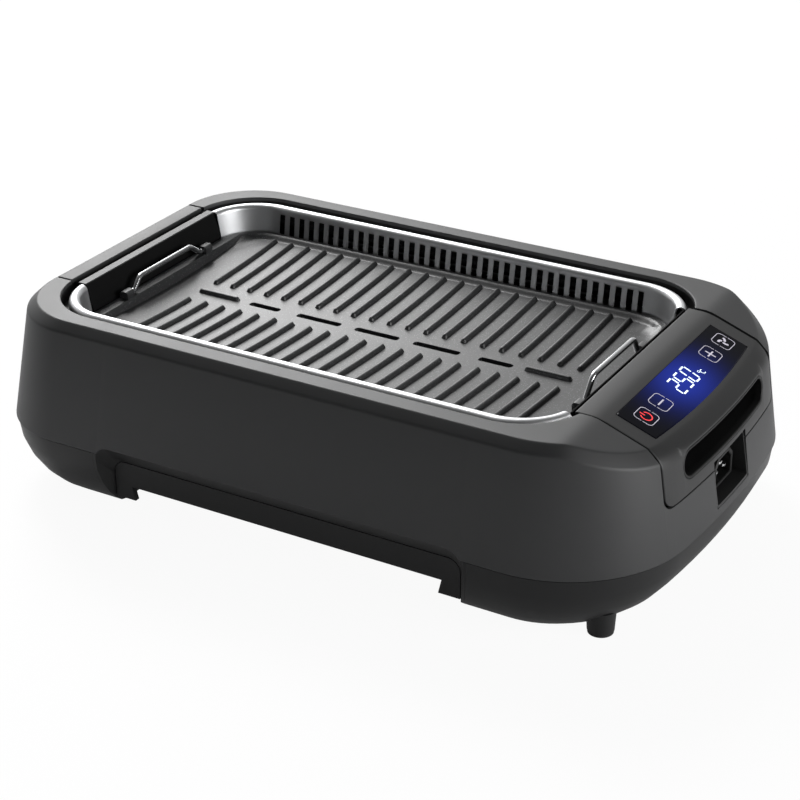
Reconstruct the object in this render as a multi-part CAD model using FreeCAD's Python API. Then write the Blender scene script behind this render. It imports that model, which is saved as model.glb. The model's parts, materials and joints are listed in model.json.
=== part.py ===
import FreeCAD, Part
import math
import os

os.makedirs("parts", exist_ok=True)
V = FreeCAD.Vector

# Housing, in millimetres
length = 528.0
depth = 320.0
rim_z = 142.0
parting_z = 52.0
ground_gap = 5.8
wall = 2.8
bow_radius = 775.0
corner_left = 66.0
corner_right = 92.0
front_draft = 11.8
left_draft = 14.5
right_draft = 11.7
chamfer = 6.3
rim_width = 12.9
rim_width_left = 13.7
base_front_tuck = 24.0
base_side_tuck = 44.0
base_step = 1.0
seam = 0.5
fit = 0.15

# Control end
module_depth = 77.8
module_half = 91.5
module_low_z = 87.2
module_overlap = 8.3
deck_strip = 15.1
deck_angle = 20.3
deck_edge = 18.0
glass_start = 8.0
glass_long = 34.4
glass_half = 78.0
glass_thick = 1.6
window_half = 34.0
board_drop = 8.4
board_thick = 1.6

# Carrying ends and inlet
grip_half = 67.3
grip_low_z = 97.6
grip_high_z = 115.6
grip_deep = 25.0
grip_wall = 1.5
left_half = 82.0
left_grip_half = 60.0
inlet_half = 25.5
inlet_low_z = 60.0
inlet_high_z = 91.0
inlet_corner = 1.5
inlet_deep = 22.0
socket_half = 14.0
socket_rise = 10.0
socket_long = 28.0

# Liner and heat panels
channel = 5.3
lip_width = 9.7
lip_drop = 1.5
sheet = 1.2
ledge_drop = 12.0
ledge_thick = 2.4
skirt = 2.5
liner_corner = 36.0
slot_end = 37.0
slot_pitch = 9.24
slot_width = 5.1
slot_high = 16.5
slot_corner = 0.4
shelf_width = 9.0
panel_lean = 5.4
panel_gap = 1.7

# Grill plate
plate_gap = 2.5
plate_drop = 21.5
plate_thick = 12.5
dish_deep = 8.0
dish_rise = 5.2
flange_wide = 10.0
edge_wide = 4.0
rib_end = 27.0
rib_pitch = 15.5
rib_width = 5.4
rib_high = 3.4
rib_start = 16.1
rib_margin = 9.9
drain_width = 5.0
drains = [(-111.2, -84.6), (-68.8, -31.0), (-18.5, 18.5), (31.0, 68.8), (84.6, 111.2)]
end_rib_in = 37.1
end_rib_long = 36.2
seat_gap = 0.3

# Wire handles of the plate
wire_r = 2.1
wire_play = 0.05
handle_in = 7.0
handle_half = 42.4
left_high = 8.0
right_high = 15.0
handle_slant = 10.0
boss_y = 46.0
boss_long = 8.5
boss_wide = 7.6
lug_high = 3.5
lug_round = 2.6
foot_bend = 3.4
top_bend = 8.0
axis_rise = 2.8
left_lean = 10.0
right_lean = 3.0

# Heating
reflector_deep = 22.0
reflector_sheet = 1.0
drain_open_x = 125.0
drain_open_y = 13.0
element_r = 4.0
element_drop = 10.5
element_row = 28.0
element_side = 30.0
element_end = 32.0
support_step = 110.0
support_end = 22.0
fuse_in = 51.0
element_bend = 27.0

# Fan
impeller_r = 14.0
fan_left_in = 74.5
fan_right_in = 93.5
blade_count = 18
shaft_r = 2.5
shaft_play = 0.05
duct_r = 16.3
duct_sheet = 1.0
motor_r = 16.0
motor_long = 40.0
fan_drop = 45.0

# Drawer
tray_shift = 9.0
front_half = 141.5
front_top_z = 43.0
front_low_z = 13.8
front_thick = 4.0
front_set = 13.0
finger_z = 24.5
lug_wide = 14.0
bevel_rise = 16.0
bevel_side = 8.0
frame_wall = 2.5
frame_gap = 0.6
tray_half = 124.0
tray_back_in = 65.0
tray_low_z = 16.0
tray_high_z = 33.0
tray_sheet = 1.5
tray_flange = 10.0

# Feet and screws
foot_in = 43.0
foot_side = 44.0
foot_r = 9.2
foot_top_r = 10.2
pad_high = 2.0
screw_in = 92.0
screw_side = 32.0
screw_r = 2.0
boss_r = 5.0
boss_high = 18.0
finger_deep = 47.0
vent_half_count = 6
vent_pitch = 16.0
vent_wide = 6.0
vent_side = 32.0
vent_long = 24.0

# Mains board
mains_in = 99.0
mains_wide = 64.0
mains_half = 95.0
mains_z = 30.0
mains_post_r = 4.0
mains_post_in = 7.0

# Places that follow from the sizes
rim_front = front_draft + chamfer
module_x = length / 2 - module_depth
deck_x = module_x + deck_strip
rim_left = -length / 2 + left_draft + chamfer + rim_width_left
plate_x = (rim_left + module_x + module_overlap) / 2
rim_hx = (module_x + module_overlap - rim_left) / 2
rim_hy = depth / 2 - rim_front - rim_width
lip_hx = rim_hx - channel
lip_hy = rim_hy - channel
liner_hx = lip_hx - lip_width
liner_hy = lip_hy - lip_width
plate_hx = liner_hx - plate_gap
plate_hy = liner_hy - plate_gap
lip_z = rim_z - lip_drop
ledge_z = rim_z - ledge_drop
plate_z = rim_z - plate_drop
plate_low_z = plate_z - plate_thick
dish_z = plate_z - dish_deep
shelf_z = plate_low_z - seat_gap
reflector_top = shelf_z - sheet
reflector_low = reflector_top - reflector_deep
element_z = plate_low_z - element_drop
floor_z = ground_gap + wall
fan_y = liner_hy + sheet + duct_r + duct_sheet
fan_z = rim_z - fan_drop
impeller_left = plate_x - liner_hx + fan_left_in
impeller_right = plate_x + liner_hx - fan_right_in
slot_half_count = int((liner_hx - slot_end) / slot_pitch)
rib_half_count = int((plate_hx - flange_wide - rib_end) / rib_pitch)
element_rows = (element_row, liner_hy - element_side)
element_turn_x = liner_hx - element_end
tray_x = plate_x + tray_shift
tray_back = depth / 2 - tray_back_in
foot_x = length / 2 - foot_in
foot_y = depth / 2 - foot_side
screw_x = length / 2 - screw_in
screw_y = depth / 2 - screw_side
mains_x = length / 2 - mains_in
mains_top = mains_z + board_thick
face_y = -depth / 2 + front_set
cos_deck = math.cos(math.radians(deck_angle))


def block(x0, x1, y0, y1, z0, z1, r=0.0, axis=V(0, 0, 1)):
    """A box between two corners, with the edges along one axis rounded."""
    solid = Part.makeBox(x1 - x0, y1 - y0, z1 - z0, V(x0, y0, z0))
    if r > 0:
        along = [e for e in solid.Edges if abs(e.tangentAt(e.FirstParameter).dot(axis)) > 0.9]
        solid = solid.makeFillet(r, along)
    return solid


def pan(half_x, half_y, r, z0, z1):
    """A rounded block centred on the plate."""
    return block(plate_x - half_x, plate_x + half_x, -half_y, half_y, z0, z1, r)


def rod(r, start, end):
    """A cylinder between two points."""
    return Part.makeCylinder(r, (end - start).Length, start, end - start)


def bent_tube(points, bends, r):
    """A round bar along a path whose corners are rounded, each with its own bend radius."""
    edges = []
    here = points[0]
    for before, corner, after, bend in zip(points, points[1:], points[2:], bends):
        a = (before - corner).normalize()
        b = (after - corner).normalize()
        half = a.getAngle(b) / 2
        start = corner + a * (bend / math.tan(half))
        end = corner + b * (bend / math.tan(half))
        middle = (a + b).normalize()
        top = corner + middle * (bend / math.sin(half) - bend)
        edges.append(Part.LineSegment(here, start).toShape())
        edges.append(Part.Arc(start, top, end).toShape())
        here = end
    edges.append(Part.LineSegment(here, points[-1]).toShape())
    ring = Part.Wire(Part.makeCircle(r, points[0], points[1] - points[0]))
    return Part.Wire(edges).makePipeShell([ring], True, False)


def outline(z, front, left, right):
    """The plan outline at one height, set in from the parting line on each side."""
    y = depth / 2 - front
    x0 = -length / 2 + left
    rl = corner_left - 0.5 * left
    rr = corner_right - right
    bow = bow_radius - right
    bow_x = length / 2 - bow_radius
    fy = y - rr
    fx = bow_x + math.sqrt((bow - rr) ** 2 - fy ** 2)
    turn = math.atan2(fy, fx - bow_x)
    tx = bow_x + bow * math.cos(turn)
    ty = bow * math.sin(turn)
    mid = (turn + math.pi / 2) / 2
    mx = fx + rr * math.cos(mid)
    my = fy + rr * math.sin(mid)
    q = rl * (1 - math.sqrt(0.5))
    edges = [
        Part.LineSegment(V(x0 + rl, -y, z), V(fx, -y, z)),
        Part.Arc(V(fx, -y, z), V(mx, -my, z), V(tx, -ty, z)),
        Part.Arc(V(tx, -ty, z), V(bow_x + bow, 0, z), V(tx, ty, z)),
        Part.Arc(V(tx, ty, z), V(mx, my, z), V(fx, y, z)),
        Part.LineSegment(V(fx, y, z), V(x0 + rl, y, z)),
        Part.Arc(V(x0 + rl, y, z), V(x0 + q, y - q, z), V(x0, y - rl, z)),
        Part.LineSegment(V(x0, y - rl, z), V(x0, rl - y, z)),
        Part.Arc(V(x0, rl - y, z), V(x0 + q, q - y, z), V(x0 + rl, -y, z)),
    ]
    return Part.Wire([e.toShape() for e in edges])


def bevel_cap(drop, right_edge):
    """A wide frustum whose top is the rim outline and whose sides fall at 45 degrees."""
    spread = 320.0
    inset = chamfer + drop * (math.sqrt(2) - 1)
    top = rim_z - drop
    wires = []
    for fall in (spread, 0.0):
        front = front_draft + inset - fall
        left = left_draft + inset - fall
        right = right_edge + drop * (math.sqrt(2) - 1) - fall
        wires.append(outline(top - fall, front, left, right))
    return Part.makeLoft(wires, True, True)


def housing_block(inset):
    """The drafted body of the upper housing with its chamfered rim and sloped end."""
    low_z = parting_z if inset == 0 else parting_z - 1.0
    fall = (length / 2 - deck_edge - deck_x) * math.tan(math.radians(deck_angle))
    wires = []
    for z in (low_z, rim_z):
        share = (z - parting_z) / (rim_z - chamfer - parting_z)
        steep = (z - parting_z) / (rim_z - chamfer - fall - parting_z)
        front = front_draft * share + inset
        left = left_draft * share + inset
        right = right_draft * steep + inset
        wires.append(outline(z, front, left, right))
    walls = Part.makeLoft(wires, True, True)
    flat = bevel_cap(inset, right_draft + chamfer)
    sloped = bevel_cap(inset, deck_edge)
    reach = length / 2 - deck_edge - deck_x
    sloped.translate(V(reach / cos_deck - reach, 0, 0))
    sloped.rotate(V(deck_x, 0, rim_z), V(0, 1, 0), deck_angle)
    return walls.common(flat).common(sloped)


def base_block(inset):
    """The lower body, an elliptic curve in from the parting line to a flat bottom."""
    wires = []
    high = parting_z - seam - ground_gap
    for share in (0.0, 0.3, 0.55, 0.75, 0.88, 0.96, 1.0):
        tuck = 1 - math.sqrt(1 - share ** 2)
        front = base_step + base_front_tuck * tuck + inset
        side = base_step + base_side_tuck * tuck + inset
        z = parting_z - seam - (high - inset) * share
        wires.append(outline(z, front, side, side))
    if inset > 0:
        wires.insert(0, outline(parting_z + 1.0, base_step + inset, base_step + inset, base_step + inset))
    return Part.makeLoft(wires, True, True)


def drawer_section(y, half, top, r):
    """An upright opening with rounded upper corners, below the table at its foot."""
    q = r * (1 - math.sqrt(0.5))
    a = tray_x - half
    b = tray_x + half
    edges = [
        Part.LineSegment(V(a, y, -20), V(b, y, -20)),
        Part.LineSegment(V(b, y, -20), V(b, y, top - r)),
        Part.Arc(V(b, y, top - r), V(b - q, y, top - q), V(b - r, y, top)),
        Part.LineSegment(V(b - r, y, top), V(a + r, y, top)),
        Part.Arc(V(a + r, y, top), V(a + q, y, top - q), V(a, y, top - r)),
        Part.LineSegment(V(a, y, top - r), V(a, y, -20)),
    ]
    return Part.Wire([e.toShape() for e in edges])


def drawer_tool(grow):
    """The bevelled hole in front of the drawer, made larger on every side by grow."""
    out = 1.7
    half = front_half + frame_gap + grow
    top = front_top_z + frame_gap + grow
    wires = [
        drawer_section(face_y - front_set * out, half + bevel_side * out, top + bevel_rise * out, 14.0 + grow),
        drawer_section(face_y, half, top, 10.0 + grow),
        drawer_section(face_y + front_thick, half, top, 10.0 + grow),
    ]
    return Part.makeLoft(wires, True, True)


def deck_block(u0, u1, half_y0, half_y1, n0, n1, r=0.0):
    """A box on the sloped panel: u runs down the slope, n is the height above it."""
    solid = block(deck_x + u0, deck_x + u1, half_y0, half_y1, rim_z + n0, rim_z + n1, r)
    solid.rotate(V(deck_x, 0, rim_z), V(0, 1, 0), deck_angle)
    return solid


def module_block(grow):
    """The volume of the control end, up to its seams."""
    half = module_half + grow
    return block(module_x - grow, length, -half, half, module_low_z - grow, 2 * rim_z, 8.0, V(1, 0, 0))


def left_block(grow):
    """The volume of the left carrying end, up to its seams."""
    half = left_half + grow
    return block(-length, rim_left + grow - seam, -half, half, module_low_z - grow, 2 * rim_z, 8.0, V(1, 0, 0))


def grip_block(half, grow, x0, x1):
    """A stadium pocket along X."""
    r = (grip_high_z - grip_low_z) / 2 + grow - 0.05
    return block(x0, x1, -half - grow, half + grow, grip_low_z - grow, grip_high_z + grow, r, V(1, 0, 0))


def inlet_block(grow):
    """The pocket around the appliance inlet, along X."""
    x0 = length / 2 - inlet_deep - grow
    low = inlet_low_z - grow
    high = inlet_high_z + grow
    return block(x0, length, -inlet_half - grow, inlet_half + grow, low, high, inlet_corner + grow, V(1, 0, 0))


def screw_places():
    """The four vertical screws between base and housing."""
    return [V(sx * screw_x, sy * screw_y, 0) for sx in (-1, 1) for sy in (-1, 1)]


def liner_seat():
    """The dark ring under the rim: an upright skirt and a ledge that carries the liner."""
    corner = liner_corner + lip_width + channel
    body = pan(rim_hx + skirt, rim_hy + skirt, corner + skirt, ledge_z - ledge_thick, rim_z - wall)
    body = body.cut(pan(rim_hx, rim_hy, corner, ledge_z, rim_z))
    hole = sheet + seam
    body = body.cut(pan(liner_hx + hole, liner_hy + hole, liner_corner + hole, reflector_top, rim_z))
    return body.cut(Part.makeCompound([module_block(seam), left_block(seam)]))


def upper_housing(shell, inside):
    """The upper shell with its large opening, its two end notches and its screw bosses."""
    corner = liner_corner + lip_width + channel
    body = shell.cut(pan(rim_hx, rim_hy, corner, reflector_top, rim_z + 1))
    for place in screw_places():
        side = 1 if place.y > 0 else -1
        post = rod(boss_r, place + V(0, 0, parting_z), place + V(0, 0, parting_z + boss_high))
        y0, y1 = sorted((place.y, side * depth / 2))
        web = block(place.x - 1.5, place.x + 1.5, y0, y1, parting_z, parting_z + boss_high)
        body = body.fuse(post.fuse(web).common(inside))
        body = body.cut(rod(screw_r, place, place + V(0, 0, parting_z + boss_high - 4)))
    tools = [module_block(seam), left_block(seam), inlet_block(grip_wall + fit), drawer_tool(frame_wall + fit)]
    return body.cut(Part.makeCompound(tools))


def control_cover(shell):
    """The control end: a slice of the shell with a wall towards the grill."""
    body = shell.common(module_block(0))
    front = module_half - 0.01
    lip = block(module_x, module_x + skirt, -front, front, plate_z, rim_z - wall / 2)
    body = body.fuse(lip)
    tools = [
        glass_block(fit, -glass_thick, 10),
        deck_block(glass_start + 3, glass_start + glass_long - 3, -window_half, window_half, -20, 1, 2.0),
        grip_block(grip_half, grip_wall + fit, module_x + 20, length),
        inlet_block(grip_wall + fit),
    ]
    return body.cut(Part.makeCompound(tools))


def left_handle_cover(shell):
    """The left carrying end, a slice of the shell with a short wall to the channel."""
    body = shell.common(left_block(0))
    inner = rim_left - seam
    lip = block(inner - skirt, inner, -left_half + 0.01, left_half - 0.01, ledge_z + 1, rim_z - wall / 2)
    body = body.fuse(lip)
    return body.cut(grip_block(left_grip_half, grip_wall + fit, -length, -length / 2 + 40))


def lower_base(outer, inside):
    """The lower tub with the drawer opening, screw posts and board posts."""
    body = outer.cut(inside)
    for place in screw_places():
        post = rod(boss_r, place + V(0, 0, ground_gap + wall / 2), place + V(0, 0, parting_z))
        body = body.fuse(post.common(outer))
    post_y = mains_half - mains_post_in
    for x in (mains_x + mains_post_in, mains_x + mains_wide - mains_post_in):
        for y in (-post_y, post_y):
            body = body.fuse(rod(mains_post_r, V(x, y, ground_gap + wall / 2), V(x, y, mains_z)))
    tools = [rod(screw_r, p, p + V(0, 0, parting_z)) for p in screw_places()]
    tools += [rod(2 * screw_r + fit, p, p + V(0, 0, ground_gap + 4)) for p in screw_places()]
    reach = front_half + frame_gap
    tools.append(block(tray_x - reach, tray_x + reach, -depth, face_y + finger_deep, -1, parting_z + 9))
    tools.append(drawer_tool(frame_wall + fit))
    far = depth / 2 - vent_side
    for i in range(-vent_half_count, vent_half_count + 1):
        x = plate_x + i * vent_pitch
        half = vent_wide / 2
        tools.append(block(x - half, x + half, far - vent_long, far, 0, floor_z + 1, half - 0.1))
    return body.cut(Part.makeCompound(tools))


def drawer_frame(outer, base_outer):
    """The bevelled surround of the drawer, flush with both halves of the housing."""
    ends = [outline(z, base_step, base_step, base_step) for z in (parting_z - 1, parting_z + 1)]
    envelope = Part.makeLoft(ends, True, True).fuse([outer, base_outer])
    return drawer_tool(frame_wall).common(envelope).cut(drawer_tool(0))


def support_feet(outer):
    """Four tapered legs under the curve of the base."""
    feet = []
    for sx in (-1, 1):
        for sy in (-1, 1):
            place = V(sx * foot_x, sy * foot_y, pad_high)
            leg = Part.makeCone(foot_r, foot_top_r, 16.0, place)
            feet.append(leg.cut(outer))
    return Part.makeCompound(feet)


def foot_pads():
    """Four rubber discs under the legs."""
    pads = []
    for sx in (-1, 1):
        for sy in (-1, 1):
            pads.append(Part.makeCylinder(foot_r - 0.4, pad_high, V(sx * foot_x, sy * foot_y, 0)))
    return Part.makeCompound(pads)


def metal_liner():
    """The pressed liner: rolled lip, upright wall with slots and a shelf for the plate."""
    lip = pan(lip_hx, lip_hy, liner_corner + lip_width, ledge_z, lip_z)
    rounded = [e for e in lip.Edges if abs(e.BoundBox.ZMin - lip_z) < 0.01]
    lip = lip.makeFillet(4.0, rounded)
    fold = pan(lip_hx - sheet, lip_hy - sheet, liner_corner + lip_width - sheet, ledge_z - 1, lip_z - sheet)
    folded = [e for e in fold.Edges if abs(e.BoundBox.ZMin - lip_z + sheet) < 0.01]
    fold = fold.makeFillet(4.0 - sheet, folded)
    fold = fold.cut(pan(liner_hx + sheet, liner_hy + sheet, liner_corner + sheet, 0, rim_z))
    skin = pan(liner_hx + sheet, liner_hy + sheet, liner_corner + sheet, shelf_z - sheet, ledge_z + 2)
    body = lip.fuse(skin)
    body = body.cut(pan(liner_hx, liner_hy, liner_corner, shelf_z, rim_z))
    inner = shelf_width
    body = body.cut(pan(liner_hx - inner, liner_hy - inner, liner_corner - inner, 0, rim_z))
    edge_z = plate_z - panel_gap
    tools = [
        fold,
        block(-length, rim_left + 40, -left_half - seam, left_half + seam, edge_z, rim_z + 1),
        block(module_x - 40, length, -module_half - seam, module_half + seam, edge_z, rim_z + 1),
    ]
    for i in range(-slot_half_count, slot_half_count + 1):
        x = plate_x + i * slot_pitch
        z0 = plate_z - 1.6
        tools.append(block(x - slot_width / 2, x + slot_width / 2, liner_hy - 2, liner_hy + sheet + 1,
                           z0, z0 + slot_high, slot_corner, V(0, 1, 0)))
    return body.cut(Part.makeCompound(tools))


def heat_panel(side, half, outer_x):
    """A black end panel that leans outward from the plate's edge up to the rim."""
    inner_x = plate_x + side * (liner_hx - 0.8 * plate_gap)
    top_x = inner_x + side * panel_lean
    back_x = plate_x + side * (liner_hx + sheet + seam - seat_gap)
    low = plate_z - panel_gap + seam
    top = lip_z - 0.5
    points = [
        V(inner_x, -half, low),
        V(inner_x, -half, low + 3),
        V(top_x, -half, top),
        V(outer_x, -half, top),
        V(outer_x, -half, ledge_z),
        V(back_x, -half, ledge_z),
        V(back_x, -half, low),
    ]
    body = Part.Face(Part.makePolygon(points + [points[0]])).extrude(V(0, 2 * half, 0))
    hole = sheet + seam - seat_gap
    inside = pan(liner_hx + hole, liner_hy + hole, liner_corner + hole, 0, ledge_z)
    return body.common(inside.fuse(block(-length, length, -depth, depth, ledge_z, rim_z)))


def left_panel_trim():
    """The grey strip along the top of the left panel."""
    x0 = plate_x - lip_hx
    x1 = plate_x - liner_hx + 0.8 * plate_gap - panel_lean
    return block(x0, x1, -left_half + seam, left_half - seam, lip_z - 0.5, lip_z + 0.5)


def dish_solid(lift, low):
    """The volume under the dished cooking surface, raised by lift."""
    y = plate_hy - rib_margin
    z = dish_z + lift
    arc = Part.Arc(V(0, -y, z + dish_rise), V(0, 0, z), V(0, y, z + dish_rise)).toShape()
    sides = Part.makePolygon([V(0, y, z + dish_rise), V(0, y, low), V(0, -y, low), V(0, -y, z + dish_rise)])
    face = Part.Face(Part.Wire([arc] + sides.Edges))
    face.translate(V(plate_x - plate_hx, 0, 0))
    return face.extrude(V(2 * plate_hx, 0, 0))


def pocket_solid():
    """The volume taken out above the dished surface, with sloped edges and round corners."""
    y = plate_hy - rib_margin
    rim_y = plate_hy - edge_wide
    z = dish_z
    arc = Part.Arc(V(0, -y, z + dish_rise), V(0, 0, z), V(0, y, z + dish_rise)).toShape()
    over = plate_z + 4
    step = (over - z - dish_rise) * (rim_y - y) / (plate_z - z - dish_rise)
    sides = Part.makePolygon([V(0, y, z + dish_rise), V(0, y + step, over), V(0, -y - step, over),
                              V(0, -y, z + dish_rise)])
    face = Part.Face(Part.Wire([arc] + sides.Edges))
    face.translate(V(plate_x - plate_hx + flange_wide, 0, 0))
    trough = face.extrude(V(2 * (plate_hx - flange_wide), 0, 0))
    return trough.common(pan(plate_hx - flange_wide, rim_y, 26.0, 0, 2 * rim_z))


def grill_plate():
    """The cast plate with its ribs and drain slots."""
    body = pan(plate_hx, plate_hy, liner_corner - plate_gap, plate_low_z, plate_z)
    body = body.cut(pocket_solid())
    r = rib_width / 2 - 0.05
    bars = []
    for i in range(-rib_half_count, rib_half_count + 1):
        x = plate_x + i * rib_pitch
        far = plate_hy - rib_margin
        for y0, y1 in ((-far, -rib_start), (rib_start, far)):
            bars.append(block(x - rib_width / 2, x + rib_width / 2, y0, y1, dish_z - 2, plate_z, r))
    for side in (-1, 1):
        far = plate_hx - end_rib_in
        x0, x1 = sorted((plate_x + side * far, plate_x + side * (far - end_rib_long)))
        bars.append(block(x0, x1, -rib_width / 2, rib_width / 2, dish_z - 2, plate_z, r))
    raised = Part.makeCompound(bars).common(dish_solid(rib_high, dish_z - 3))
    body = body.fuse(raised.Solids)
    tools = []
    for x0, x1 in drains:
        half = drain_width / 2
        tools.append(block(plate_x + x0, plate_x + x1, -half, half, 0, rim_z, half - 0.05))
    return body.cut(Part.makeCompound(tools))


def handle_brackets():
    """Four blocks on the plate's flanges, bored for the turned ends of the wire handles."""
    axis_z = plate_z + axis_rise
    half = boss_wide / 2
    reach = boss_y + boss_long - 1
    brackets = []
    for side in (-1, 1):
        x = plate_x + side * (plate_hx - handle_in)
        bore = rod(wire_r + wire_play, V(x, -reach, axis_z), V(x, reach, axis_z))
        for y0, y1 in ((-boss_y - boss_long, -boss_y), (boss_y, boss_y + boss_long)):
            body = block(x - half, x + half, y0, y1, plate_z - 4, axis_z + lug_high, lug_round, V(0, 1, 0))
            body = body.common(block(x - half, x + half, y0, y1, plate_z, rim_z))
            brackets.append(body.cut(bore))
    return Part.makeCompound(brackets)


def plate_handle(side, high, lean):
    """A bent wire whose ends turn in the bosses; lean is the angle outward from upright."""
    x = plate_x + side * (plate_hx - handle_in)
    z = plate_z + axis_rise
    end = boss_y + boss_long - 1.5
    top = handle_slant - handle_half
    path = [V(x, -end, z), V(x, -handle_half, z), V(x, top, z + high)]
    path += [V(p.x, -p.y, p.z) for p in reversed(path)]
    wire = bent_tube(path, [foot_bend, top_bend, top_bend, foot_bend], wire_r)
    wire.rotate(V(x, 0, z), V(0, 1, 0), side * lean)
    return wire


def heat_reflector():
    """The bright pan under the element with a drain opening over the drip tray."""
    hx = liner_hx - shelf_width
    hy = liner_hy - shelf_width
    r = liner_corner - shelf_width
    body = pan(hx, hy, r, reflector_low, reflector_top)
    flange = pan(hx + 7, hy + 7, r + 7, reflector_top - reflector_sheet, reflector_top)
    t = reflector_sheet
    body = body.fuse(flange).cut(pan(hx - t, hy - t, r - t, reflector_low + t, rim_z))
    body = body.cut(pan(drain_open_x, drain_open_y, 6.0, 0, rim_z))
    for y in (-element_rows[1], element_rows[1]):
        body = body.cut(rod(element_r + 0.5, V(plate_x, y, element_z), V(length, y, element_z)))
    return body


def heating_element():
    """One tubular heater in four runs, both ends towards the control end."""
    near, far = element_rows
    left = plate_x - element_turn_x
    right = plate_x + element_turn_x - 20
    end = plate_x + liner_hx + 6
    z = element_z
    path = [V(end, -far, z), V(left, -far, z), V(left, -near, z), V(right, -near, z), V(right, near, z)]
    path += [V(left, near, z), V(left, far, z), V(end, far, z)]
    return bent_tube(path, [element_bend] * (len(path) - 2), element_r)


def element_supports():
    """Three cross bars that carry the element on the reflector."""
    low = reflector_low + reflector_sheet
    top = element_z - element_r - 0.1
    bars = []
    half = liner_hy - support_end
    for shift in (-support_step, 0.0, support_step):
        x = plate_x + shift
        bars.append(block(x - 3, x + 3, -half, half, low, top))
    return Part.makeCompound(bars)


def terminal_blocks():
    """Two ceramic blocks outside the reflector that the element's ends pass through."""
    x0 = plate_x + liner_hx - shelf_width
    blocks = []
    for y in (-element_rows[1], element_rows[1]):
        body = block(x0, x0 + 12, y - 9, y + 9, element_z - 8, element_z + 7, 2.0, V(1, 0, 0))
        blocks.append(body.cut(rod(element_r + 0.1, V(x0 - 1, y, element_z), V(x0 + 20, y, element_z))))
    return Part.makeCompound(blocks)


def temperature_sensor():
    """A flanged probe that stands on the reflector and stops just under the plate."""
    place = V(plate_x - 60, (element_rows[0] + element_rows[1]) / 2, reflector_low + reflector_sheet)
    body = rod(4.0, place, V(place.x, place.y, plate_low_z - seat_gap))
    return body.fuse(rod(8.0, place, place + V(0, 0, 2)))


def thermal_fuse():
    """A cut-out in a clip under the reflector."""
    x = plate_x + liner_hx - fuse_in
    return block(x - 12, x + 12, 46, 54, reflector_low - 6, reflector_low, 2.0, V(1, 0, 0))


def fan_impeller():
    """A cross-flow wheel: end discs joined by a ring of blades."""
    x0 = impeller_left
    x1 = impeller_right
    body = rod(impeller_r, V(x0, 0, 0), V(x0 + 1.5, 0, 0))
    parts = [rod(impeller_r, V(x1 - 1.5, 0, 0), V(x1, 0, 0))]
    for i in range(blade_count):
        blade = block(x0 + 0.5, x1 - 0.5, impeller_r - 4.6, impeller_r - 0.4, -0.6, 0.6)
        blade.rotate(V(0, impeller_r - 2.5, 0), V(1, 0, 0), 30)
        blade.rotate(V(0, 0, 0), V(1, 0, 0), 360.0 * i / blade_count)
        parts.append(blade)
    body = body.fuse(parts)
    body = body.cut(rod(shaft_r, V(x0 - 5, 0, 0), V(x1 + 5, 0, 0)))
    body.translate(V(0, fan_y, fan_z))
    return body


def fan_shaft():
    """The steel shaft from the bearing to the motor."""
    return rod(shaft_r, V(impeller_left - 7, fan_y, fan_z), V(impeller_right + 14, fan_y, fan_z))


def fan_duct():
    """The curved housing of the fan, hung on the back of the liner by its end plates."""
    x0 = impeller_left - 4
    x1 = impeller_right + 6.5
    outer = duct_r + duct_sheet
    scroll = Part.makeCylinder(outer, x1 - x0, V(x0, 0, 0), V(1, 0, 0), 190)
    scroll = scroll.cut(rod(duct_r, V(x0 - 1, 0, 0), V(x1 + 1, 0, 0)))
    middle = scroll.Solids[0].CenterOfMass
    turn = math.degrees(math.atan2(middle.z, middle.y))
    scroll.rotate(V(0, 0, 0), V(1, 0, 0), -20 - turn)
    plates = []
    for a in (x0, x1 - 1.5):
        end = rod(outer, V(a, 0, 0), V(a + 1.5, 0, 0))
        tab = block(a, a + 1.5, -outer, 0, -10, 10)
        plates.append(end.fuse(tab))
    body = scroll.fuse(plates)
    body = body.cut(rod(5.0, V(x0 - 1, 0, 0), V(x0 + 3, 0, 0)))
    body = body.cut(rod(shaft_r + 1.0, V(x1 - 3, 0, 0), V(x1 + 3, 0, 0)))
    for z in (-10.0, 10.0):
        body = body.cut(rod(1.6, V(x1 - 3, 0, z), V(x1 + 3, 0, z)))
    body.translate(V(0, fan_y, fan_z))
    return body


def fan_bearing():
    """The plain bush at the far end of the shaft."""
    x0 = impeller_left - 6.5
    start = V(x0, fan_y, fan_z)
    end = V(x0 + 5, fan_y, fan_z)
    return rod(5.0, start, end).cut(rod(shaft_r + shaft_play, start - V(1, 0, 0), end + V(1, 0, 0)))


def fan_motor():
    """The motor can, bored for the shaft and its two screws."""
    x0 = impeller_right + 6.5
    axis = V(0, fan_y, fan_z)
    body = rod(motor_r, axis + V(x0, 0, 0), axis + V(x0 + motor_long, 0, 0))
    body = body.cut(rod(shaft_r + shaft_play, axis + V(x0 - 1, 0, 0), axis + V(x0 + 10, 0, 0)))
    for z in (-10.0, 10.0):
        body = body.cut(rod(1.5, axis + V(x0 - 1, 0, z), axis + V(x0 + 6, 0, z)))
    return body


def motor_screws():
    """Two screws that hold the motor on the end plate of the duct."""
    x0 = impeller_right + 6.5
    screws = []
    for z in (-10.0, 10.0):
        axis = V(0, fan_y, fan_z + z)
        head = rod(2.8, axis + V(x0 - 3.5, 0, 0), axis + V(x0 - 1.5, 0, 0))
        screws.append(head.fuse(rod(1.5, axis + V(x0 - 1.5, 0, 0), axis + V(x0 + 6, 0, 0))))
    return Part.makeCompound(screws)


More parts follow.
